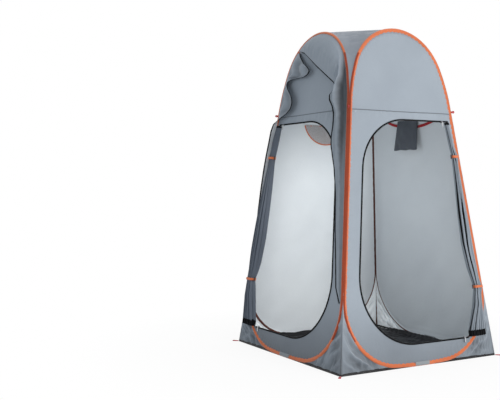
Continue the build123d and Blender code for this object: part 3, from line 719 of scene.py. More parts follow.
# groundsheet: a square laid flat, creased where nothing holds it down, its slack standing up as a
# low ridge along the back and right walls
def groundsheet():
    k = floorCut
    side = np.linspace(-k["half"], k["half"], k["count"])
    x, y = np.meshgrid(side, side, indexing="ij")
    free = clamp((k["half"] - np.maximum(np.abs(x), np.abs(y))) / k["hold"])
    crease = 0.6 * np.abs(ripple(x, y, 201, 0.26, 0.5, 1.5))
    crease = crease + 0.5 * np.abs(ripple(x, y, 202, 0.08, 2.0, 1.5))
    z = k["lift"] + k["crease"] * free * crease
    for out, along, seed, tall in ((y, x, 203, 1.0), (x, y, 204, 0.85)):
        run = clamp((k["ridgeHalf"] - np.abs(along)) / k["ridgeFade"])
        run = run * (0.85 + 0.15 * ripple(along, 0.0, seed, 0.25))
        line = k["ridgeAt"] + 0.004 * ripple(along, 0.0, seed + 2, 0.3)
        z = z + tall * k["ridge"] * run * hump(out, line, k["ridgeWide"])
    grid = facing(stacked(x, y, z), stacked(x, y), np.array(k["below"]))
    piece = clothPiece("groundCloth", [grid], [blackSheet], "front", "black_groundsheet", "groundsheet")
    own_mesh(piece)


groundsheet()
print("gussets and groundsheet done")

roofCut = dict(
    rows=64, cols=72, sag=0.014, fold=0.0095, offset=0.0112, rise=0.75, seamAt=0.62, seamDeep=0.0025,
    seamWide=0.012, flatRows=30, flatSag=0.004, flatFold=0.003,
)


# roof between two arches: level lines from arch to arch, sagging and creased between them
def roofCorner(first, second, side, share, seed):
    k = roofCut
    half = hoopHalf(k["offset"])[0]
    half = half[half[:, 1] >= tent["hoopTop"] - tent["shoulderDrop"]]
    _, arch = evenly(half, k["rows"])
    t = np.linspace(0, share, int(k["cols"] * share))
    a = onWall(first, side * arch[:, 0], arch[:, 1], 0.0)[:, None]
    b = onWall(second, -side * arch[:, 0], arch[:, 1], 0.0)[:, None]
    points = a + (b - a) * t[None, :, None]
    span = np.linalg.norm(b - a, axis=-1)
    along = np.linspace(0, 1, k["rows"])[:, None]
    across = span * t[None]
    free = halfWave(t)[None] ** 0.9 * clamp(span / 0.3) * clamp((1 - along) / 0.06)
    up = along * k["rise"]
    crease = 0.6 * ripple(across, up, seed, 0.16, 1.1, 0.7)
    crease = crease + 0.4 * ripple(across, up, seed + 1, 0.06, 0.4, 0.9)
    normal = np.cross(np.gradient(points, axis=0), np.gradient(points, axis=1))
    normal /= np.linalg.norm(normal, axis=-1, keepdims=True)
    normal *= np.sign((normal * (points - middle)).sum(-1, keepdims=True))
    sewn = k["seamDeep"] * hump(along, k["seamAt"], k["seamWide"])      # cross seam of the roof cloth
    out = (-k["sag"] + k["fold"] * crease) * free - sewn * halfWave(t)[None]
    points = points + normal * out[..., None]
    return facing(points, stacked(across, up)), points


# half a roof: one whole corner, the near halves of its two neighbours, and half the flat square on top
def roofHalf(name, body, node, corner, before, after, inward, seed):
    whole, edge = roofCorner(*corner, 1.0, seed)
    left, _ = roofCorner(*before, 0.5, seed + 10)
    right, _ = roofCorner(*after, 0.5, seed + 20)
    ridge = edge[-1]
    reach = np.linalg.norm(ridge[-1] - ridge[0]) / 2
    k = roofCut
    q = np.linspace(0, 1, k["flatRows"])[:, None, None]
    flat = ridge[None] + q * reach * np.array([inward[0], inward[1], 0.0]) / math.sqrt(2)
    t = np.linspace(0, 1, ridge.shape[0])[None]
    free = halfWave(t) * clamp(4 * q[..., 0])
    fold = k["flatFold"] * ripple(flat[..., 0], flat[..., 1], seed + 30, 0.12, 0.4)
    flat[..., 2] += (fold - k["flatSag"]) * free
    top = facing(flat, stacked(t * 2 * reach, q[..., 0] * reach))
    grids = [whole, left, right, top]
    piece = clothPiece(name, grids, [roofCloth, insideCoat], body, "grey_polyester", node, merge=0.00005)
    rests = ("front", "left") if name == "roofFront" else ("right", "back")
    rests = [f"{wall}_hoop_sleeve" for wall in rests]
    return piece


roofFront = roofHalf("roofFront", "front", "roof_front_half", ("front", "left", -1), ("left", "back", -1),
                     ("front", "right", 1), (1, 1), 300)
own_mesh(roofFront)
roofBack = roofHalf("roofBack", "right_wall", "roof_back_half", ("right", "back", 1), ("right", "front", -1),
                    ("back", "left", 1), (-1, -1), 340)
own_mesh(roofBack)
print("roof done")

zipCut = dict(
    outside=0.0055, inside=0.005, tape=0.001, coil=0.003, pitch=0.003, tooth=0.0019, end=0.028, count=1500,
    cols=7, sway=0.0005, bare=0.002,
)


# zip: a tape carried round the door's free edge, with a row of small coil teeth on its inner edge
def doorZip(wall, seed):
    k, side = zipCut, doorSide[wall]
    s, points, ways = doorLine(k["count"])
    keep = points[:, 0] < hoopReach(points[:, 1], -k["end"])
    s, points, ways = s[keep], points[keep], ways[keep]
    q = np.linspace(k["outside"], -k["inside"], k["cols"])[None]
    u, v = points[:, :1] + ways[:, :1] * q, points[:, 1:] + ways[:, 1:] * q
    w = tent["onPanel"] + k["tape"] / 2 + k["sway"] * ripple(s[:, None], q, seed, 0.05)
    grid = facing(onWall(wall, side * u, v, w), stacked(s[:, None], q))
    tape = thicken(gridPiece(f"{wall}ZipTape", [grid], [blackTape]), k["tape"], False)
    settle(tape, wallBody[wall], "black_zip", f"{wall}_door_zip")
    along = np.arange(s[0] + k["bare"], s[-1] - k["bare"], k["pitch"])
    coilLine = points - ways * (k["inside"] - k["coil"] / 2)
    mid, way = (stacked(*(np.interp(along, s, line[:, c]) for c in (0, 1))) for line in (coilLine, ways))
    run = stacked(-way[:, 1], way[:, 0])
    square = np.array([(-1, 0.05), (1, 0.05), (0.8, 1.0), (-0.8, 1.0)])      # across the coil and out
    ends = np.array([-0.5, 0.5])[:, None, None] * k["tooth"]
    grids = []
    for m, w1, r1 in zip(mid, way, run):
        flat = m + 0.5 * k["coil"] * square[None, :, :1] * w1 + ends * r1
        out = np.broadcast_to(tent["onPanel"] + k["coil"] * square[None, :, 1], flat.shape[:2])
        ring = onWall(wall, side * flat[..., 0], flat[..., 1], out)
        grids.append((ring if side > 0 else ring[:, ::-1], flat))
    teeth = gridPiece(f"{wall}ZipTeeth", grids, [zipTeeth], False, True, caps=True)
    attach(teeth, wallBody[wall])


doorZip("front", 400)
doorZip("left", 410)
print("zips done")

# gathered doors: height, reach in from the seam to the inner and outer edge, depth, back
bundleCut = dict(
    stations=np.array([
        (1.478, 0.082, 0.040, 0.022, 0.0012), (1.3805, 0.080, 0.034, 0.030, 0.0012),
        (1.283, 0.074, 0.030, 0.026, 0.0030), (1.253, 0.074, 0.030, 0.026, 0.0030),
        (1.102, 0.088, 0.029, 0.036, 0.0012), (0.903, 0.112, 0.029, 0.044, 0.0012),
        (0.720, 0.128, 0.029, 0.046, 0.0012), (0.561, 0.118, 0.029, 0.042, 0.0012),
        (0.458, 0.092, 0.030, 0.032, 0.0030), (0.428, 0.092, 0.030, 0.032, 0.0030),
        (0.329, 0.128, 0.040, 0.040, 0.0044), (0.168, 0.205, 0.046, 0.034, 0.0044),
    ]),
    straps=(1.268, 0.443), rows=188, cols=264, pleats=12, flat=(0.85, 1.36), area=1.09,
    low=0.141, high=1.486, end=0.032, topEnd=0.02, edge=0.018, strapHold=0.035, soft=0.03,
    lift=0.0006, swell=0.27, shift=0.022, sway=0.9, crest=0.66, rolledAt=2.92, rolledWide=0.13,
    depthGain={"front": 1.0, "left": 1.35}, wider={"front": 0.0, "left": 0.010},
    taper={"front": 0.66, "left": 0.25},
    cloth={"front": greyCloth, "left": leftBundleShadedCloth},
)


# inner edge, outer edge, depth and back of a gathered door at a height
def bundleAt(wall, v):
    k = bundleCut
    up, *columns = k["stations"].T
    reachIn, reachOut, depth, back = (smoothLine(v, up, column, k["soft"]) for column in columns)
    return seamReach(v, reachIn), seamReach(v, reachOut), depth * k["depthGain"][wall], back


# gathered door: one sheet in upright pleats, a cosine out and back across the bundle's width, with
# pleats that swell at their crests, wander up and down and are drawn in at the straps
def doorBundle(wall, seed):
    k, side = bundleCut, doorSide[wall]
    v = np.linspace(k["low"], k["high"], k["rows"])[:, None]
    p = np.linspace(0, 1, k["cols"])[None]
    inner, outer, depth, back = bundleAt(wall, v)
    held = sum(hump(v, place, k["strapHold"]) for place in k["straps"])
    inner = inner - k["wider"][wall] * (1 - held) * clamp((v - 0.2) / 0.1) * clamp((1.22 - v) / 0.15)
    turn = p + k["shift"] * ripple(p, 0.15 * v, seed, 0.3) * halfWave(p)
    turn = 2 * math.pi * k["pleats"] * turn
    turn = turn + k["sway"] * ripple(v, 0.0, seed + 1, 0.9) * (1 - 0.5 * held)
    crest = k["crest"] + (1 - k["crest"]) * halfWave(np.clip(p, 0.02, 0.98)) ** 0.6
    crest = crest * (1 + 0.22 * ripple(p, 0.12 * v, seed + 2, 0.22) * (1 - 0.7 * held))
    crest = crest * (1 - k["taper"][wall] * clamp((p - 0.35) / 0.65) * (1 - held))
    out = (0.5 + 0.5 * np.cos(turn)) ** 0.9
    wide = outer - inner
    swell = k["swell"] * wide / k["pleats"] * np.sin(turn) * (2 * out - 0.6)
    u = inner + wide * (0.05 + 0.9 * p) + swell * (1 - 0.4 * held)
    u = u + 0.004 * ripple(v, p * 0.05, seed + 3, 0.25) * halfWave(p) * (1 - held)
    w = back + k["lift"] + depth * np.minimum(crest * (0.06 + 0.94 * out), 1.0)
    v = v + 0.006 * np.sin(turn) * hump(v, 0.16, 0.03)
    points = onWall(wall, side * u, v, w)
    points, uv = facing(points, stacked(p * k["flat"][0], v, turn / 2 / math.pi))
    col, row, pleat = (uv[:-1, :-1, c] for c in (0, 1, 2))
    uv = uv[..., :2]
    black = (row > k["high"] - k["topEnd"]) | (row < k["low"] + k["end"])
    if wall == "front":
        # zip rolled in with the cloth
        rolled = k["rolledAt"] + 0.9 * np.clip((1.27 - row) / 0.25, -1, 1) * hump(row, 1.27, 0.2)
        black = black | (col < k["edge"]) | (np.abs(pleat - rolled) < k["rolledWide"])
    else:
        black = black | (col > k["flat"][0] - k["edge"])
    cloth = k["cloth"][wall]
    mats = [cloth, cloth, blackTape, blackTape]
    piece = clothPiece(f"{wall}Bundle", [(points, uv)], mats, wallBody[wall], "grey_polyester",
                       f"{wall}_door_bundle", patches=[black.astype(int) * 2])


strapCut = dict(
    width=0.016, thick=0.0012, tail=0.024, corner=0.011, neck=0.0015, behind=0.0012, before=0.0026,
    inside=0.0024, outside=0.0020, tailUp=0.0042, tailGap=0.0015, count=120, cols=6, tailRows=12, round=16,
)


# strap: a band round the gathered cloth along a round-cornered box, with its sewn tail and toggle neck
def tieStraps(wall):
    k, side = strapCut, doorSide[wall]
    grids, length = [], 0.0
    for place in bundleCut["straps"]:
        inner, outer, depth, back = (float(x) for x in bundleAt(wall, np.array(place)))
        low, high = back - k["behind"], back + depth + k["before"]
        a, b = inner - k["inside"], outer + k["outside"]
        c = min(k["corner"], (high - low) / 2.2)
        corners = [(b - c, low + c), (b - c, high - c), (a + c, high - c), (a + c, low + c)]
        starts = (-90, 0, 90, 180)
        path = [arcPoints(mid, c, start, start + 90, 14)[0] for mid, start in zip(corners, starts)]
        path = np.concatenate(path)
        s, path = evenly(path, k["count"], closed=True)
        t = np.linspace(-0.5, 0.5, k["cols"])[None] * k["width"]
        slant = t * sideSin / sideCos
        u = path[:, :1] - slant
        points = onWall(wall, side * u, place + t, path[:, 1:])
        points, uv = facing(points, stacked(s[:, None], t), points.mean((0, 1)))
        grids.append((np.concatenate([points, points[:1]]), np.concatenate([uv, uv[:1]])))
        x = np.linspace(0, 1, k["tailRows"])[:, None]
        rise = k["tailUp"] + (back + 0.3 * depth - k["tailUp"]) * (1 - x) ** 3
        tail = onWall(wall, side * (outer + k["tailGap"] + (k["tail"] - 0.001) * x - slant), place + t, rise)
        grids.append(facing(tail, stacked(x * k["tail"], t)))
        length += float(s[-1]) + k["tail"]
    band = thicken(gridPiece(f"{wall}Straps", grids, [orangeTape]), k["thick"], False)
    settle(band, wallBody[wall], "orange_binding", f"{wall}_tie_straps")
    grids = []
    run = onWall(wall, side, 0.0, 0.0) - onWall(wall, 0.0, 0.0, 0.0)
    up = onWall(wall, 0.0, 1.0, 0.0) - onWall(wall, 0.0, 0.0, 0.0)
    a = roundAngles(k["round"])
    ring = np.cos(a)[:, None] * up + np.sin(a)[:, None] * np.cross(run, up)
    x = np.array([-0.0045, -0.0040, 0.004, 0.010, 0.016])[:, None, None]
    fat = np.array([0.6, 1.0, 1.0, 1.0, 1.0])[:, None, None] * k["neck"]
    for toggle in ("upper", "lower"):
        low, high = (np.array(c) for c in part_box(f"{wall}_toggle_{toggle}"))
        grids.append(((low + high) / 2 + x * run + fat * ring[None], stacked(x[..., 0], a * k["neck"])))
    necks = gridPiece(f"{wall}ToggleNecks", grids, [blackTape], False, True, caps=True)
    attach(necks, wallBody[wall])


for n, wall in enumerate(doorSide):
    doorBundle(wall, 500 + 20 * n)
    tieStraps(wall)
print("gathered doors done")

# outer cover of the left wall, unzipped and thrown back. A row is the side and height of its sewn foot
# on the hoop, then its free edge on the wall: across, up and out
coverCut = dict(surround=np.array([
    (-1, 1.972, -0.200, 1.974, 0.006), (-1, 2.020, -0.118, 1.952, 0.024), (1, 2.052, 0.039, 1.852, 0.030),
    (1, 2.000, 0.182, 1.766, 0.030), (1, 1.900, 0.261, 1.719, 0.030), (1, 1.790, 0.276, 1.690, 0.022),
    (1, 1.720, 0.228, 1.646, 0.026), (1, 1.668, 0.240, 1.612, 0.030), (1, 1.610, 0.276, 1.572, 0.030),
    (1, 1.550, 0.297, 1.525, 0.028), (1, 1.470, 0.298, 1.455, 0.024), (1, 1.390, 0.284, 1.380, 0.018),
    (1, 1.328, 0.284, 1.328, 0.012), (1, 1.186, 0.338, 1.186, 0.009), (1, 1.031, 0.378, 1.031, 0.008),
    (1, 0.824, 0.412, 0.824, 0.008), (1, 0.620, 0.456, 0.616, 0.008), (1, 0.500, 0.480, 0.490, 0.008),
    (1, 0.420, 0.525, 0.408, 0.006),
]), flap=np.array([
    (-1, 1.968, -0.208, 1.965, 0.006), (-1, 1.945, -0.182, 1.935, 0.016), (-1, 1.915, -0.120, 1.884, 0.026),
    (-1, 1.885, -0.050, 1.845, 0.036), (-1, 1.860, -0.016, 1.820, 0.040), (-1, 1.840, -0.040, 1.799, 0.034),
    (-1, 1.825, -0.110, 1.790, 0.020), (-1, 1.815, -0.195, 1.792, 0.018), (-1, 1.805, -0.264, 1.788, 0.022),
    (-1, 1.790, -0.288, 1.776, 0.028), (-1, 1.765, -0.280, 1.750, 0.036), (-1, 1.735, -0.246, 1.716, 0.042),
    (-1, 1.695, -0.200, 1.670, 0.042), (-1, 1.655, -0.182, 1.625, 0.040), (-1, 1.615, -0.206, 1.588, 0.034),
    (-1, 1.585, -0.258, 1.560, 0.030), (-1, 1.550, -0.327, 1.538, 0.028), (-1, 1.510, -0.392, 1.503, 0.030),
    (-1, 1.450, -0.406, 1.450, 0.036), (-1, 1.380, -0.414, 1.380, 0.038), (-1, 1.280, -0.428, 1.280, 0.040),
    (-1, 1.180, -0.442, 1.180, 0.039), (-1, 1.060, -0.457, 1.060, 0.035), (-1, 0.900, -0.477, 0.900, 0.026),
    (-1, 0.740, -0.497, 0.740, 0.006),
]),
    back=0.0045, rows=320, cols=48, zipWidth=0.011, zipThick=0.0026, fold=0.0028, fine=3000, soft=0.035,
    least=0.0035, hollow=0.012, zipRound=12, zipLap=0.0015,
    hoodBow=0.030, ridge=0.038, ridgeAt=0.64, ridgeWide=0.15, lobe=0.012, lobeWave=0.15,
)


# cover: cloth from the hoop in to its free edge. Rows are joined smoothly by length along the edge, and
# the cloth between foot and edge is a straight run raised by a bow, a fold beside the hoop and small folds
def coverGrid(stations, seed, hood):
    k = coverCut
    s, points, _ = hoopLine(k["fine"])
    half = len(s) // 2
    place = np.interp(stations[:, 1], points[:half, 1], s[:half])
    place = np.where(stations[:, 0] > 0, place, s[-1] + s[1] - place)
    step = np.linalg.norm(np.diff(stations[:, 2:], axis=0), axis=1) + np.abs(np.diff(place))
    along = np.concatenate([[0.0], np.cumsum(step)])
    run = np.linspace(0, along[-1], k["rows"])
    foot = smoothLine(run, along, place, k["soft"])
    edge = stacked(*(smoothLine(run, along, stations[:, c], k["soft"]) for c in (2, 3, 4)))[:, None]
    across, up = (np.interp(foot, s, points[:, c])[:, None] for c in (0, 1))
    low = stacked(across, up, k["back"])
    t = np.linspace(0, 1, k["cols"])[None]
    spot = low + (edge - low) * t[..., None]
    reach = np.linalg.norm(edge - low, axis=-1)
    right = across > 0
    run = run[:, None]
    rise = k["fold"] * halfWave(t) * clamp(reach / 0.1)
    rise = rise * ripple(run, reach * t, seed, 0.12, 0.5, 0.6)
    shade = np.ones_like(rise)
    if hood:
        high = clamp((up - 1.70) / 0.25)
        rise = rise + 4 * k["hoodBow"] * high * clamp((run - 0.05) / 0.30) * t * (1 - t)
        crest = hump(up, 1.68, 0.17) * right
        line = np.clip(0.14 + 1.85 * (1.90 - up), 0.14, k["ridgeAt"])
        rise = rise + k["ridge"] * crest * hump(t, line, k["ridgeWide"] * (0.4 + line))
        rise = rise - k["hollow"] * crest * hump(t, 0.4 * line, 0.3 * line)
        # painted shade in the hollow beside the hoop, broken by painted streaks of shade, and a painted
        # highlight just past the ridge
        shadeStreak = 0.5 + 0.5 * ripple(reach * t, 0.1 * run, seed + 5, 0.045)
        strip = clamp((1.95 - up) / 0.15) * right
        deep = clamp((line - t) / (0.1 + 0.15 * line)) * np.clip((up - 0.9) / 0.5, 0.4, 1)
        shade = 1 - strip * (0.68 * deep + 0.14 * shadeStreak)
        shade = shade + 0.9 * hump(up, 1.75, 0.13) * right * hump(t, line + 0.07, 0.07)
    else:
        deep = clamp((reach - 0.06) / 0.10)
        wander = 1.6 * ripple(run, reach * t, seed + 3, 0.45) - 0.6
        wave = np.sin(2 * math.pi * reach * t / k["lobeWave"] + wander)
        rise = rise * deep + k["lobe"] * deep * halfWave(t) ** 1.3 * (0.9 + wave)
        # painted shade in the valleys between the lobes
        shade = 1 - 0.34 * deep * (0.5 - 0.5 * wave) * clamp(6 * t)
    out = np.maximum(spot[..., 2] + rise, k["least"])
    return run, reach, t, spot[..., 0], spot[..., 1], out, shade


# zip edge: a flattened tube carried along the cloth's free edge
def coverEdge(run, spots):
    k = coverCut
    rim, near = spots[:, -1], spots[:, -4]
    inward = (rim - near) / np.linalg.norm(rim - near, axis=1, keepdims=True)
    a = roundAngles(k["zipRound"])[None, :, None]
    line = rim[:, None] + inward[:, None] * (k["zipWidth"] * (0.5 - 0.5 * np.cos(a)) - k["zipLap"])
    line = line + np.array([0.0, 0.0, k["zipThick"]]) * np.sin(a)
    points = onWall("left", line[..., 0], line[..., 1], line[..., 2])
    uv = stacked(run, 0.009 * np.cos(a[..., 0]))
    ends = np.cross(points[0, 3] - points[0, 0], points[0, 6] - points[0, 0]) @ (points[1, 0] - points[0, 0])
    return (points, uv) if ends > 0 else (points[:, ::-1], uv[:, ::-1])


# both cover cloths, and one zip edge round them
def leftCover():
    k, grids, lengths = coverCut, [], 0.0
    outward = onWall("left", 0.0, 0.0, 1.0) - onWall("left", 0.0, 0.0, 0.0)
    nodes = {"surround": ["left_cover_hood", "left_cover_surround"], "flap": ["left_cover_flap"]}
    for name, seed in (("surround", 600), ("flap", 620)):
        run, reach, t, u, v, w, shade = coverGrid(k[name], seed, name == "surround")
        uv = stacked(run, reach * t)
        points = onWall("left", u, v, w)
        normal = np.cross(np.gradient(points, axis=0), np.gradient(points, axis=1))[:120].sum((0, 1))
        if normal @ outward < 0:
            points, uv, shade = points[:, ::-1], uv[:, ::-1], shade[:, ::-1]
        title = f"leftCover{name.capitalize()}"
        piece = clothPiece(title, [(points, uv)], [coverCloth, insideCoat], "left_wall", "grey_polyester",
                           *nodes[name], shades=[shade])
        sides = np.linalg.norm(np.diff(points, axis=0), axis=-1).sum(0)[[0, -1]]      # sewn foot, free edge
        cut = float(reach.max()), float(sides.min()), gridArea(points)
        declare([cut])
        grids.append(coverEdge(run, stacked(u, v, w)))
        lengths += float(sides.max())
    zipEdge = gridPiece("leftCoverZip", grids, [blackTape], False, True, caps=True)
    settle(zipEdge, "left_wall", "black_zip", "left_cover_zip")


leftCover()
print("left cover done")

pocketCut = dict(
    width=0.205, height=0.200, middle=0.020, top=1.535, belly=0.012, flare=0.13, swing=0.10,
    rows=60, cols=90, deep=0.0021, apart=0.0012, fold=0.004, gap=0.0006,
)


# hanging pocket: one cloth folded up at the bottom, front and back a little apart, hanging plumb
def hangingPocket():
    k = pocketCut
    a = np.linspace(-0.5, 0.5, k["rows"])[:, None]
    q = np.linspace(-1, 1, k["cols"])[None]               # front top, bottom fold, back top
    down = k["height"] * (1 - np.abs(q) ** 1.6)
    down = down + k["fold"] * ripple(a, 0.0, 701, 0.4) * (1 - np.abs(q))
    deep = k["deep"] + np.where(q < 0, 1, -1) * k["apart"] * np.minimum(1, 12 * np.abs(q))
    belly = k["belly"] * halfWave(clamp(down / k["height"])) * (1 - 4 * a ** 2) * (q < 0)
    folds = k["fold"] * ripple(a * k["width"], down, 702, 0.09, 0.5, 0.7) * (q < 0) * clamp(down / 0.05)
    deep = deep + belly + folds * (1 - 4 * a ** 2)
    u = k["middle"] + a * k["width"] * (1 + k["flare"] * (down / k["height"]))
    v = k["top"] - down * math.cos(lean) + deep * math.sin(lean)
    w = -tent["onPanel"] - k["gap"] - down * (math.sin(lean) + k["swing"]) - deep * math.cos(lean)
    points = onWall("right", u, v, w)
    uv = stacked(a * k["width"], k["height"] * q)
    grid = facing(points, uv, points.mean((0, 1)))
    piece = clothPiece("hangingPocket", [grid], [pocketCloth], "right_wall", "dark_pocket", "hanging_pocket")


strapEnds = dict(
    width=0.018, runs=[(-0.062, 1.486, -0.250, 1.522), (0.096, 1.500, 0.232, 1.534)], rows=50, cols=7,
    sag=0.006, bow=0.004, gap=0.0008, sway=0.0008,
)


# pocket straps: flat webbing out from the pocket to the wall, sagging a little
def pocketStraps():
    k, grids, length = strapEnds, [], 0.0
    for n, (u0, v0, u1, v1) in enumerate(k["runs"]):
        t = np.linspace(0, 1, k["rows"])[:, None]
        q = np.linspace(-0.5, 0.5, k["cols"])[None] * k["width"]
        run = math.hypot(u1 - u0, v1 - v0)
        cu, cv = (u1 - u0) / run, (v1 - v0) / run
        u = u0 + (u1 - u0) * t - cv * q
        v = v0 + (v1 - v0) * t + cu * q - k["sag"] * halfWave(t)
        w = -tent["onPanel"] - k["gap"] - k["bow"] * halfWave(t)
        w = w - k["sway"] * (1 + ripple(t * run, q, 720 + n, 0.07))
        grids.append(facing(onWall("right", u, v, w), stacked(t * run, q)))
        length += run
    piece = clothPiece("pocketStraps", grids, [redWeb], "right_wall", "red_webbing", "pocket_straps")


meshCut = dict(
    top=1.515, half=0.190, drop=0.145, binding=0.009, thick=0.003, belly=0.010, rows=110, cols=60,
    net=0.0008, sideIn=0.010, lowIn=0.006, topIn=0.004, gap=0.0016, count=380, round=14,
)


# mesh pocket: upright lines from a round bottom to a straight top, bellied and softly folded
def meshPocket():
    k = meshCut
    radius = (k["drop"] ** 2 + k["half"] ** 2) / (2 * k["drop"])
    up = k["top"] - k["drop"] + radius
    x = np.linspace(-1, 1, k["rows"])[:, None] * (k["half"] - k["sideIn"])
    low = up - np.sqrt((radius - k["lowIn"]) ** 2 - x ** 2)
    t = np.linspace(0, 1, k["cols"])[None]
    v = low + (k["top"] - k["topIn"] - low) * t
    u = x + 0 * t
    free = halfWave(t) ** 0.7 * clamp((k["top"] - low) / 0.1)
    slack = 0.55 + 0.5 * ripple(u, 0.3 * v, 740, 0.055, 0.0, 0.2)
    w = -tent["onPanel"] - k["gap"] - k["belly"] * free * slack
    grid = facing(onWall("back", u, v, w), stacked(u, v))
    net = thicken(gridPiece("meshPocket", [grid], [netCloth]), k["net"], False)
    settle(net, "back_wall", "grey_mesh", "mesh_pocket")
    declare([flatCut(u, v)])
    turn = math.degrees(math.asin((k["half"] - k["binding"] / 2) / radius))
    bowl = arcPoints((0.0, up), radius - k["binding"] / 2, -90 - turn, -90 + turn, 200)[0]
    s, line = evenly(bowl, k["count"], closed=True)
    tangent = tangents(line)
    a = roundAngles(k["round"])[None]
    q = 0.5 * k["binding"] * np.cos(a) * (1 + 0.05 * ripple(s, 0.0, 751, 0.03)[:, None])
    w = -tent["onPanel"] - k["thick"] / 2 - 0.5 * k["thick"] * np.sin(a)
    rings = onWall("back", line[:, :1] + tangent[:, 1:] * q, line[:, 1:] - tangent[:, :1] * q, w)
    uv = stacked(s[:, None], 0.004 * a)
    bind = gridPiece("meshBinding", [(rings, uv)], [orangeTape], True, True)
    settle(bind, "back_wall", "orange_binding", "mesh_pocket_binding")


hangingPocket()
pocketStraps()
meshPocket()
print("pockets done")

loopCut = dict(
    corners={"front_left": 225.0, "front_right": 315.0, "back_right": 45.0, "back_left": 135.0},
    peg=dict(length=0.044, width=0.018, thick=0.0048), guy=dict(length=0.026, width=0.016, thick=0.0044),
    web=0.0070, pegGap=0.0009, pegUp=0.0027, guyUp=1.560, guyIn=0.007, sewnRadius=0.0006, sewnIn=0.0015,
    count=120, round=14, square=0.6,
)


# webbing loop: a flat rounded section carried round a drop shape, from its sewn end out along X
def loopRings(length, width, thick):
    k, web = loopCut, loopCut["web"]
    small, big = k["sewnRadius"], (width - web) / 2
    near, far = k["sewnIn"] + small, length - width / 2
    turn = math.degrees(math.asin((big - small) / (far - near)))
    bow = arcPoints((far, 0.0), big, -90 - turn, 90 + turn, 60)[0]
    end = arcPoints((near, 0.0), small, 90 + turn, 270 - turn, 10)[0]
    s, path = evenly(np.concatenate([bow, end]), k["count"], closed=True)
    tangent = tangents(path)
    a = roundAngles(k["round"])[None]
    q = 0.5 * web * blunt(np.cos(a), k["square"]) * np.clip((path[:, :1] + 0.004) / 0.010, 0.35, 1)
    z = 0.5 * thick * blunt(np.sin(a), k["square"]) * (1 + 0.04 * ripple(s, 0.0, 770, 0.01)[:, None])
    rings = stacked(path[:, :1] + tangent[:, 1:] * q, path[:, 1:] - tangent[:, :1] * q, z)
    return rings, stacked(s[:, None], 0.002 * a)


# turn a loop's three lengths (out, across and up) to face out from a corner
def atCorner(corner, out, across, up):
    turn = math.radians(loopCut["corners"][corner])
    c, n = math.cos(turn), math.sin(turn)
    return stacked(out * c - across * n, out * n + across * c, up)


# a peg loop at each corner of the base, and a pair of guy loops high on the front and on the back
def loops():
    k = loopCut
    rings, uv = loopRings(**k["peg"])
    far = math.sqrt(2) * (tent["halfBase"] + tent["cloth"] / 2) + k["pegGap"] + rings[..., 0]
    for corner in k["corners"]:
        points = atCorner(corner, far, rings[..., 1], rings[..., 2] + k["pegUp"])
        name = "pegLoop" + corner.title().replace("_", "")
        piece = gridPiece(name, [(points, uv)], [redWeb], True, True)
        settle(piece, f"peg_loop_{corner}", "red_webbing", f"peg_loop_{corner}")
    rings, uv = loopRings(**k["guy"])
    up = k["guyUp"] * math.cos(lean)
    seam = math.sqrt(2) * tent["halfBase"] * (1 - up / tent["apexHeight"])
    far = seam - k["guyIn"] / math.sqrt(2) + rings[..., 0]
    for side, body in (("front", "front"), ("back", "back_wall")):
        ends = f"{side}_left", f"{side}_right"
        grids = [(atCorner(corner, far, -rings[..., 2], up + rings[..., 1]), uv) for corner in ends]
        piece = gridPiece(f"{side}GuyLoops", grids, [redWeb], True, True)
        settle(piece, body, "red_webbing", f"{side}_guy_loops")


loops()
print("webbing loops done")

# rigid CAD nodes keep their shape and get a finish
for name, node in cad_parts.items():
    finish = None
    if "zip_slider" in name or "zip_pull" in name:
        finish = zipMetal
    elif "toggle" in name:
        finish = blackPlastic
    elif name.endswith("hoop_wire"):
        finish = springSteel
    if finish:
        node.data.materials.clear()
        node.data.materials.append(finish)

# plain pale floor and world, seen as white, and soft studio lamps
stageCut = dict(floor=12.0, under=0.0005, shade=0.90, ambient=0.45, near=0.7, far=1.9)


# the bright shader to rays from the camera, glossy or let through, and the dull one to all others
def showWhite(tree, dull, bright, share):
    path = addNode(tree, "LightPath").outputs
    seen = mathNode(tree, "MAXIMUM", path["Is Camera Ray"], path["Is Glossy Ray"])
    seen = mathNode(tree, "MAXIMUM", seen, path["Is Transmission Ray"])
    share = mathNode(tree, "MULTIPLY", seen, share)
    return addNode(tree, "MixShader", {0: share, 1: dull, 2: bright}).outputs[0]


# stand an object at a place, turned by its right, up and back ways
def stand(item, right, up, back, place):
    rows = zip(np.stack([right, up, back], 1), place)
    item.matrix_world = Matrix([[*row, p] for row, p in rows] + [[0, 0, 0, 1]])
    bpy.context.scene.collection.objects.link(item)


# right and up ways of something held level, from its back way
def levelWays(back):
    right = np.cross((0.0, 0.0, 1.0), back)
    right /= np.linalg.norm(right)
    return right, np.cross(back, right)


world = bpy.data.worlds.new("studio")
bpy.context.scene.world = world
world.use_nodes = True
tree = world.node_tree
soft = tree.nodes["Background"]
soft.inputs["Color"].default_value = (0.94, 0.97, 1.0, 1.0)
soft.inputs["Strength"].default_value = stageCut["ambient"]
white = addNode(tree, "Background", {"Color": (1.0, 1.0, 1.0, 1.0), "Strength": 1.0})
seen = showWhite(tree, soft.outputs[0], white.outputs[0], 1.0)
tree.links.new(seen, tree.nodes["World Output"].inputs["Surface"])

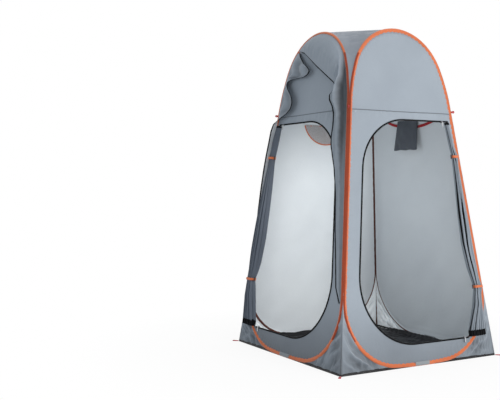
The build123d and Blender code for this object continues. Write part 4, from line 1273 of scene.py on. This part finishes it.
paleFloor = bpy.data.materials.new("paleFloor")
paleFloor.use_nodes = True
tree = paleFloor.node_tree
dull = tree.nodes["Principled BSDF"]
dull.inputs["Base Color"].default_value = (0.9, 0.9, 0.9, 1.0)
dull.inputs["Roughness"].default_value = 0.9
glow = addNode(tree, "Emission")
spot = addNode(tree, "TexCoord").outputs["Object"]
away = addNode(tree, "VectorMath", {0: spot}, operation="LENGTH").outputs["Value"]
fade = addNode(tree, "MapRange", {                        # share of plain white, all of it far from the tent
    "Value": away, "From Min": stageCut["near"], "From Max": stageCut["far"], "To Min": stageCut["shade"]})
seen = showWhite(tree, dull.outputs[0], glow.outputs[0], fade.outputs["Result"])
tree.links.new(seen, tree.nodes["Material Output"].inputs["Surface"])
corners = [(x * stageCut["floor"], y * stageCut["floor"], -stageCut["under"])
           for x, y in ((-1, -1), (1, -1), (1, 1), (-1, 1))]
floorMesh = bpy.data.meshes.new("floor")
floorMesh.from_pydata(corners, [], [(0, 1, 2, 3)])
floorMesh.materials.append(paleFloor)
floor = bpy.data.objects.new("floor", floorMesh)
bpy.context.scene.collection.objects.link(floor)

lamps = dict(
    key=dict(place=(0.7, -6.4, 2.3), size=3.2, watts=270.0, colour=(1.0, 0.99, 0.97)),
    fill=dict(place=(-5.5, 0.6, 2.6), size=3.0, watts=38.0, colour=(0.82, 0.92, 1.0)),
    top=dict(place=(0.5, 0.5, 5.5), size=4.0, watts=60.0, colour=(1.0, 1.0, 1.0)),
)
for name, k in lamps.items():
    lamp = bpy.data.lights.new(name, "AREA")
    lamp.shape, lamp.size, lamp.energy, lamp.color = "SQUARE", k["size"], k["watts"], k["colour"]
    lampObject = bpy.data.objects.new(name, lamp)
    back = np.array(k["place"]) - middle
    back /= np.linalg.norm(back)
    stand(lampObject, *levelWays(back), back, k["place"])

# camera at the photograph's place: yaw and pitch in radians, lens for a frame of the width given
shot = dict(place=(-3.2897, -4.3392, 1.0966), yaw=-0.5123, pitch=0.0213, lens=58.72, frame=36.0)
level = math.cos(shot["pitch"])
back = np.array([math.sin(shot["yaw"]) * level, -math.cos(shot["yaw"]) * level, math.sin(shot["pitch"])])
cameraData = bpy.data.cameras.new("camera")
cameraData.lens, cameraData.sensor_width, cameraData.sensor_fit = shot["lens"], shot["frame"], "HORIZONTAL"
camera = bpy.data.objects.new("camera", cameraData)
stand(camera, *levelWays(back), back, shot["place"])
bpy.context.scene.camera = camera
bpy.context.scene.view_settings.view_transform = "Standard"
print("stage and camera ready")
